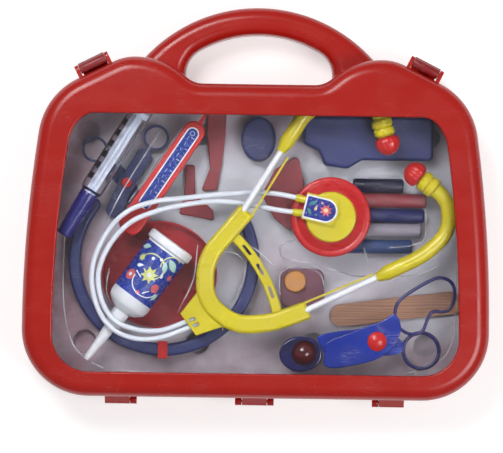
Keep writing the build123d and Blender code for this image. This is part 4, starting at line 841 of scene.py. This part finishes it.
class DOCTORCASE_OT_liner(bpy.types.Operator):
    """Finishes the formed liner with painted shade by its walls, and the cloudy film with its formed edges,
    drawn as painted glint lines, over the lower tools
    """

    bl_idname = "doctor_case.liner"
    bl_label = "Liner and Film"

    def execute(self, context):
        dress("inner_tray", liner_material(), 0.9 * MM)
        dress("clear_blister", film_material(), 0.5 * MM)
        # a pale colour that paints the glint along each formed edge
        painted_glint = formed_edge_glint_material()
        film_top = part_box("clear_blister")[1].z / MM
        for name, route in FORMED_EDGE_GLINTS:
            points = [(x, y, film_top + 0.15) for x, y in route]
            bent_wire("film_edge_glint_" + name, points, 1.0, painted_glint)
        return {"FINISHED"}


# ---- bottle: its axis runs level from the flange's outer face to the nozzle's tip ----------------
BOTTLE_START = (-57.5, -25.4)
BOTTLE_END = (-116.2, -107.0)
BOTTLE_HIGH = 28.5
WRAP_RADIUS = 15.3
# name, ink, layer, then each mark's kind, place along and round the bottle, size and turn
WRAP_MARKS = (
    ("wrap_leaves", "Pale Green", 1, (("leaf", 13.5, 11.0, 6.2, 62), ("leaf", 17.5, 6.6, 4.4, 30),
                                      ("leaf", 38.0, 14.5, 4.0, -30), ("leaf", 12.6, -15.0, 4.6, -70))),
    ("wrap_berries", "Coral", 1, (("disc", 34.5, -11.5, 3.9, 0), ("disc", 33.0, 10.0, 3.2, 0),
                                  ("disc", 21.5, 15.5, 2.2, 0), ("disc", 41.8, 1.0, 1.5, 0))),
    ("wrap_star", "Lime", 1, (("burst", 27.5, 0.6, 6.4, 8), ("burst", 20.5, -11.8, 3.0, 20))),
    ("wrap_dots", "Cream", 2, (("disc", 27.5, 0.6, 1.7, 0), ("drop", 25.4, -8.6, 2.8, 120),
                               ("drop", 22.5, 8.0, 2.6, 200), ("disc", 34.5, -11.5, 1.4, 0),
                               ("bar", 31.0, -6.2, 3.0, 70), ("bar", 38.5, 5.8, 2.6, 140),
                               ("disc", 14.2, 1.2, 1.1, 0), ("disc", 16.8, -4.0, 1.1, 0))),
)
# name, ink, layer, width, and the arc: place, radius, first and last turn, stretch across
WRAP_LOOPS = (
    ("wrap_loop_near", "Lime", 1, 0.8, (22.0, -2.0, 8.5, 20, 255, 1.15)),
    ("wrap_loop_far", "Cream", 2, 0.7, (33.5, 3.0, 9.0, -95, 78, 1.2)),
    ("wrap_loop_small", "Lime", 2, 0.6, (15.0, 10.0, 7.4, 140, 300, 1.0)),
)


class DOCTORCASE_OT_bottle(bpy.types.Operator):
    """Finishes the medicine bottle and prints its wrap with leaves, drops and loops"""

    bl_idname = "doctor_case.bottle"
    bl_label = "Bottle"

    def execute(self, context):
        white = plastic("Bottle White", tuple(colours().white), 0.3, 0.12, 0.15, scuffs=0.2, glow=0.15)
        for name in ("bottle_base", "bottle_body", "bottle_nozzle"):
            dress(name, white, 0.6 * MM)
        dress("bottle_label", print_ink("Wrap Blue", paint(24, 52, 146), 0.3))
        place = lying(in_metres(BOTTLE_START), in_metres(BOTTLE_END), BOTTLE_HIGH * MM)
        lift = sizes().print_lift
        layers = {1: round_surface(place, WRAP_RADIUS * MM, lift),
                  2: round_surface(place, WRAP_RADIUS * MM, lift * 2)}
        for name, colour, layer, marks in WRAP_MARKS:
            printed_marks(name, marks, layers[layer], ink(colour))
        for name, colour, layer, width, arc in WRAP_LOOPS:
            printed_stroke(name, arc_path(*arc), width, layers[layer], ink(colour))
        return {"FINISHED"}


class DOCTORCASE_OT_syringe(bpy.types.Operator):
    """Finishes the syringe: its clear barrel, marks, navy nose and white plunger"""

    bl_idname = "doctor_case.syringe"
    bl_label = "Syringe"

    def execute(self, context):
        clear = clear_plastic("Barrel Clear", (0.93, 0.95, 0.98), 0.05, 0.12, 60, shine=0.3)
        white = plastic("Plunger White", paint(190, 195, 208), 0.3, 0.1, 0.1, scuffs=0.2, glow=0.1)
        navy = plastic("Nose Navy", tuple(colours().navy), 0.25, 0.25, 0.15, scuffs=0.35, coat=0.3)
        dress("syringe_barrel", clear, 0.3 * MM)
        dress("syringe_plunger", white, 0.4 * MM)
        dress("syringe_nose", navy, 0.6 * MM)
        dress("syringe_scale", print_ink("Scale Black", paint(8, 8, 14), 0.35, worn=0.06))
        return {"FINISHED"}


# ---- thermometer: the printed strip starts below the upper end -----------------------------------
THERMOMETER_TOP = (-40.2, 56.6)
THERMOMETER_END = (-90.5, -19.0)
STRIP_FROM = 4.5
STRIP_LENGTH = 66.0
STRIP_WIDTH = 9.2
STRIP_BORDER = 0.9
STRIP_TICKS = 18
STRIP_DASHES = 11


class DOCTORCASE_OT_thermometer(bpy.types.Operator):
    """Finishes the thermometer and prints its white-edged strip with a plain scale"""

    bl_idname = "doctor_case.thermometer"
    bl_label = "Thermometer"

    def execute(self, context):
        red = plastic("Thermometer Red", tuple(colours().red), 0.32, 0.3, 0.2, scuffs=0.3)
        dress("thermometer_body", red, 0.9 * MM)
        white = ink("White")
        dress("thermometer_label", white)
        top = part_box("thermometer_label")[1].z
        place = lying(in_metres(THERMOMETER_TOP), in_metres(THERMOMETER_END), top)
        lift = sizes().print_lift
        low, high = flat_surface(place, lift), flat_surface(place, 2 * lift)
        start, end = STRIP_FROM + STRIP_BORDER, STRIP_FROM + STRIP_LENGTH - STRIP_BORDER
        half = STRIP_WIDTH / 2 - STRIP_BORDER
        printed_field("strip_field", rounded_box(start, end, half, 3.4, 1.2), low,
                      print_ink("Strip Blue", paint(34, 58, 140), 0.3))
        ticks = []
        for k in range(STRIP_TICKS):
            length = 2.6 if k % 6 == 0 else 1.7 if k % 3 == 0 else 1.0
            ticks.append(("bar", start + 6 + 3 * k, half - 0.5 - length / 2, length / 2, 90))
        printed_marks("strip_ticks", ticks, high, white)
        pale = ink("Pale Blue")
        dashes = [("bar", start + 7.5 + 4.5 * k, -0.9 + 0.5 * (k % 2), 1.5 - 0.25 * (k % 3), 12 * (k % 3))
                  for k in range(STRIP_DASHES)]
        printed_marks("strip_dashes", dashes, high, pale)
        printed_stroke("strip_bulb", arc_path(start + 3.4, 0.0, 1.5, 0, 360), 0.5, high, pale)
        return {"FINISHED"}


# ---- stethoscope ---------------------------------------------------------------------------------
STICKER_AT = (43.6, -1.6)
STICKER_TURN = -13.0
STICKER_LENGTH = 23.0
STICKER_WIDTH = 16.5
STICKER_BORDER = 1.1
# name, ink, layer, then each mark's kind, place, size and turn
STICKER_MARKS = (
    ("sticker_leaves", "Teal", 2, (("leaf", -6.2, 3.2, 3.0, 35), ("leaf", -7.4, -2.8, 2.6, -50),
                                   ("disc", -2.4, -4.2, 0.8, 0))),
    ("sticker_burst", "Coral", 2, (("burst", 3.6, 0.2, 4.6, 10),)),
    ("sticker_dots", "Sand", 3, (("disc", 3.6, 0.2, 1.5, 0), ("drop", -3.4, 0.6, 2.2, 80),
                                 ("disc", 0.0, 4.4, 0.7, 0))),
)
TIP_RADIUS = 8.4
TIP_DEEP = 12.5
TIP_LIP = 2.0
TIP_GAP = 0.3
TIP_HIGH = 35.2
TIP_FLUTES = 14
TIP_FLUTE_DEPTH = 0.045  # a share of the radius
TIP_STEPS = 14
# each ear tube's last bend and its end
TUBE_ENDS = {"upper": ((81.5, 68.5), (87.5, 49.0)), "lower": ((130.5, 6.5), (112.0, 20.8))}
# places across the yoke where its mould parts meet: one side, the other side
YOKE_SEAMS = (
    ((-38.4, -34.6), (-24.6, -28.0)), ((-41.3, -53.6), (-28.7, -53.4)), ((-22.6, -85.6), (-20.4, -73.4)),
    ((8.2, -86.8), (9.6, -74.2)),
)
# how a seam bends over each side of the yoke: how far in, and how far below the top
SEAM_BEND = ((0.3, 4.6), (0.2, 1.6), (1.8, 0.0))


class DOCTORCASE_OT_stethoscope(bpy.types.Operator):
    """Finishes the stethoscope: headset, ear tubes, fluted ear tips, chest piece and sticker"""

    bl_idname = "doctor_case.stethoscope"
    bl_label = "Stethoscope"

    def execute(self, context):
        palette = colours()
        yellow = plastic("Headset Yellow", tuple(palette.yellow), 0.3, 0.3, 0.2, scuffs=0.2, glow=0.1)
        for name in ("steth_headset", "ear_tube_upper", "ear_tube_lower", "chestpiece_cap"):
            dress(name, yellow, 0.6 * MM)
        rods = plastic("Rod White", tuple(palette.white), 0.3, 0.12, 0.15, scuffs=0.2, glow=0.1)
        for name in ("arm_rod_upper", "arm_rod_lower"):
            dress(name, rods, 0.4 * MM)
        self.seams(yellow)
        self.ear_tips(palette)
        self.chest_piece(palette)
        return {"FINISHED"}

    def seams(self, yellow):
        """Fine raised lines over the yoke where its mould parts meet."""
        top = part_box("steth_headset")[1].z / MM - 0.05
        for k, ends in enumerate(YOKE_SEAMS):
            outer, inner = (Vector(end) for end in ends)
            inward = (inner - outer).normalized()
            up = [(*(outer + inward * inset), top - drop) for inset, drop in SEAM_BEND]
            down = [(*(inner - inward * inset), top - drop) for inset, drop in reversed(SEAM_BEND)]
            points = [*up, (*outer.lerp(inner, 0.5), top + 0.02), *down]
            bent_wire("yoke_seam_%d" % k, points, 0.55, yellow)

    def ear_tips(self, palette):
        """Soft domes with flutes that fade out towards the crown."""
        soft = plastic("Soft Red", tuple(palette.red), 0.3, 0.3, 0.2, scuffs=0.1, coat=0.3)
        rise = TIP_DEEP - TIP_LIP
        ball = (TIP_RADIUS ** 2 + rise ** 2) / (2 * rise)
        centre = TIP_DEEP - ball
        profile = [(0, 0), (0, TIP_RADIUS - TIP_LIP), (0.5, TIP_RADIUS - 0.9), (TIP_LIP, TIP_RADIUS)]
        for k in range(1, TIP_STEPS + 1):
            turn = (1 - k / TIP_STEPS) * (pi / 2 + 0.2)
            profile.append((centre + ball * cos(turn), ball * sin(turn)))
        for name, (bend, end) in TUBE_ENDS.items():
            mesh = lathe([(along * MM, max(out, 0) * MM) for along, out in profile])
            for vert in mesh.verts:
                out = sqrt(vert.co.y ** 2 + vert.co.z ** 2)
                if out < MERGE_WITHIN or vert.co.x < 0.4 * MM:
                    continue
                fade = min(1, out / (TIP_RADIUS * MM)) * min(1, vert.co.x / (TIP_LIP * MM))
                turn = Vector((vert.co.y, vert.co.z)).angle_signed(Vector((1, 0)))
                shrink = 1 - TIP_FLUTE_DEPTH * fade * (1 + cos(TIP_FLUTES * turn)) / 2
                vert.co.y *= shrink
                vert.co.z *= shrink
            along = (Vector(end) - Vector(bend)).normalized()
            start = (Vector(end) + along * TIP_GAP) * MM
            place = lying(start, start + along, TIP_HIGH * MM)
            make_piece("ear_tip_dome_" + name, mesh, soft, TIP_SHARP_FROM,
                       ("ear_tip_" + name,), place)

    def chest_piece(self, palette):
        bell = plastic("Bell Red", tuple(palette.bell), 0.28, 0.25, 0.15, scuffs=0.2)
        sheet = plastic("Diaphragm White", paint(222, 222, 224), 0.4, 0.1, 0.3, scuffs=0.3)
        dress("chestpiece_bell", bell, 0.8 * MM)
        dress("chestpiece_diaphragm", sheet)
        white = ink("White")
        dress("chestpiece_label", white)
        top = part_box("chestpiece_label")[1].z
        turn = Matrix.Rotation(radians(STICKER_TURN), 4, "Z")
        place = Matrix.Translation((STICKER_AT[0] * MM, STICKER_AT[1] * MM, top)) @ turn
        lift = sizes().print_lift
        half_long = STICKER_LENGTH / 2 - STICKER_BORDER
        half = STICKER_WIDTH / 2 - STICKER_BORDER
        field = rounded_box(-half_long, half_long, half, 0.5, half - 0.1)
        printed_field("sticker_field", field, flat_surface(place, lift),
                      print_ink("Sticker Navy", paint(36, 44, 132), 0.3))
        for name, colour, layer, marks in STICKER_MARKS:
            printed_marks(name, marks, flat_surface(place, layer * lift), ink(colour))


# ---- scissors and mirror -------------------------------------------------------------------------
LOW_BLADE = (
    (40.8, -88.3), (56.0, -85.0), (70.0, -83.6), (84.0, -80.6), (96.0, -87.5), (102.5, -92.0),
    (102.0, -99.5), (93.5, -101.5), (80.0, -101.6), (66.0, -101.8), (47.8, -101.8), (45.4, -96.0),
)
HIGH_BLADE = (
    (47.6, -92.4), (48.0, -101.0), (46.4, -108.8), (54.0, -111.2), (72.0, -107.6), (86.0, -103.4),
    (95.5, -95.0), (101.0, -84.0), (98.4, -74.5), (94.5, -72.0), (88.0, -77.4), (76.0, -81.6),
    (62.0, -87.0),
)
ROUND_LOOP_AT = (114.2, -97.6)
ROUND_LOOP = 12.3
ROUND_LOOP_POINTS = 16
LONG_LOOP = (
    (95.6, -79.5), (95.8, -66.0), (103.6, -58.8), (115.5, -51.4), (126.4, -46.0), (136.2, -50.6),
    (136.8, -63.0), (131.5, -71.6), (121.0, -69.6), (118.0, -76.0), (115.0, -85.6), (105.0, -87.0),
)


class DOCTORCASE_OT_scissors(bpy.types.Operator):
    """Makes the scissors' smooth blades and wire loops, and finishes the mirror beside them, its face
    coloured with a painted reflection
    """

    bl_idname = "doctor_case.scissors"
    bl_label = "Scissors and Mirror"

    def execute(self, context):
        palette = colours()
        blue = plastic("Blade Blue", tuple(palette.blade), 0.2, 0.5, 0.2, scuffs=0.4, bump=0.1)
        loops = plastic("Loop Indigo", paint(24, 22, 88), 0.28, 0.3, 0.15, scuffs=0.2)
        rub_streaks(blue, paint(70, 104, 196), 0.45)
        for name, body, outline in (("lower", "base", LOW_BLADE), ("upper", "scissors_top", HIGH_BLADE)):
            lowest, highest = (corner.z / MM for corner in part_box("scissors_" + name))
            smooth_plate("scissors_blade_" + name, outline, lowest, highest, 0.7 * MM, blue, body,
                         ["scissors_" + name])
        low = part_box("scissors_lower")
        level = (low[0].z + low[1].z) / 2 / MM
        reach = ROUND_LOOP / cos(pi / ROUND_LOOP_POINTS)
        turns = [2 * pi * k / ROUND_LOOP_POINTS for k in range(ROUND_LOOP_POINTS)]
        ring = [(ROUND_LOOP_AT[0] + reach * cos(turn), ROUND_LOOP_AT[1] + reach * sin(turn), level)
                for turn in turns]
        bent_wire("scissors_loop_round", ring, 2.7, loops, closed=True)
        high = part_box("scissors_upper")
        level = (high[0].z + high[1].z) / 2 / MM
        bent_wire("scissors_loop_long", [(x, y, level) for x, y in LONG_LOOP], 2.4, loops,
                  "scissors_top", closed=True)
        rivet = plastic("Rivet Red", tuple(palette.red), 0.22, 0.2, 0.1, scuffs=0.15)
        for name in ("scissors_rivet", "forceps_rivet", "headband_clip"):
            dress(name, rivet, 0.4 * MM)
        cup = plastic("Cup Navy", paint(18, 16, 78), 0.14, 0.15, 0.1, scuffs=0.08, coat=0.5)
        dress("mirror_cup", cup, 0.8 * MM)
        # painted reflection: the mirror's face is coloured dark red with what it reflects
        dress("mirror_dome", plastic("Dome Red", paint(70, 4, 10), 0.1, 0.2, 0.1, scuffs=0.1, coat=0.6,
                                     coat_roughness=0.05))
        return {"FINISHED"}


class DOCTORCASE_OT_small_tools(bpy.types.Operator):
    """Finishes the small tools that lie under the cloudy film"""

    bl_idname = "doctor_case.small_tools"
    bl_label = "Small Tools"

    def execute(self, context):
        palette = colours()
        slate = plastic("Tool Slate", tuple(palette.slate), 0.4, 0.4, 0.3, scuffs=0.3)
        rose = plastic("Dusty Rose", tuple(palette.rose), 0.42, 0.4, 0.3, scuffs=0.3)
        for name in ("forceps_lower", "forceps_upper", "headband", "otoscope_body", "otoscope_cup"):
            dress(name, slate, 0.6 * MM)
        for name in ("tweezers", "probe", "hammer_head", "hammer_handle"):
            dress(name, rose, 0.8 * MM)
        for name, shade in (("vial_navy", (8, 10, 48)), ("vial_indigo", (18, 26, 84)),
                            ("vial_grey", (132, 126, 138)), ("vial_slate", (32, 60, 108))):
            title = name.replace("_", " ").title()
            dress(name, plastic(title, paint(*shade), 0.3, 0.3, 0.2, scuffs=0.2), 0.6 * MM)
        dress("kidney_dish", plastic("Dish Wine", paint(160, 26, 36), 0.3, 0.3, 0.2, scuffs=0.2), 0.8 * MM)
        dress("pill_dish", plastic("Dish Mauve", paint(112, 62, 78), 0.35, 0.3, 0.2, scuffs=0.2), 0.8 * MM)
        amber = plastic("Pill Amber", paint(184, 124, 48), 0.5, 0.4, 0.5, scuffs=0.1)
        dress("pill_tablet", amber, 0.8 * MM)
        tan = wood_look_plastic("Stick Tan", paint(158, 112, 82), paint(134, 92, 66))
        dress("tongue_depressor", tan, 0.8 * MM)
        return {"FINISHED"}


class DOCTORCASE_PT_panel(bpy.types.Panel):
    """Lists the pieces of the doctor case"""

    bl_idname = "DOCTORCASE_PT_panel"
    bl_label = "Toy Doctor Case"
    bl_space_type = "VIEW_3D"
    bl_region_type = "UI"
    bl_category = "Doctor Case"

    def draw(self, context):
        layout = self.layout
        for name in DoctorCaseSizes.__annotations__:
            layout.prop(sizes(), name)
        for name in DoctorCaseColours.__annotations__:
            layout.prop(colours(), name)
        for operator in OPERATORS:
            layout.operator(operator.bl_idname)


OPERATORS = (
    DOCTORCASE_OT_stage, DOCTORCASE_OT_hoses, DOCTORCASE_OT_shell, DOCTORCASE_OT_window,
    DOCTORCASE_OT_liner, DOCTORCASE_OT_bottle, DOCTORCASE_OT_syringe, DOCTORCASE_OT_thermometer,
    DOCTORCASE_OT_stethoscope, DOCTORCASE_OT_scissors, DOCTORCASE_OT_small_tools,
)
CLASSES = (DoctorCaseColours, DoctorCaseSizes, *OPERATORS, DOCTORCASE_PT_panel)


def register():
    for made in CLASSES:
        bpy.utils.register_class(made)
    bpy.types.Scene.doctor_case_colours = bpy.props.PointerProperty(type=DoctorCaseColours)
    bpy.types.Scene.doctor_case_sizes = bpy.props.PointerProperty(type=DoctorCaseSizes)


def unregister():
    del bpy.types.Scene.doctor_case_sizes
    del bpy.types.Scene.doctor_case_colours
    for made in reversed(CLASSES):
        bpy.utils.unregister_class(made)


def corners(box):
    return [[round(float(value), 6) for value in corner] for corner in box]


def main():
    register()
    for operator in OPERATORS:
        group, name = operator.bl_idname.split(".")
        getattr(getattr(bpy.ops, group), name)()


if __name__ == "__main__":
    main()
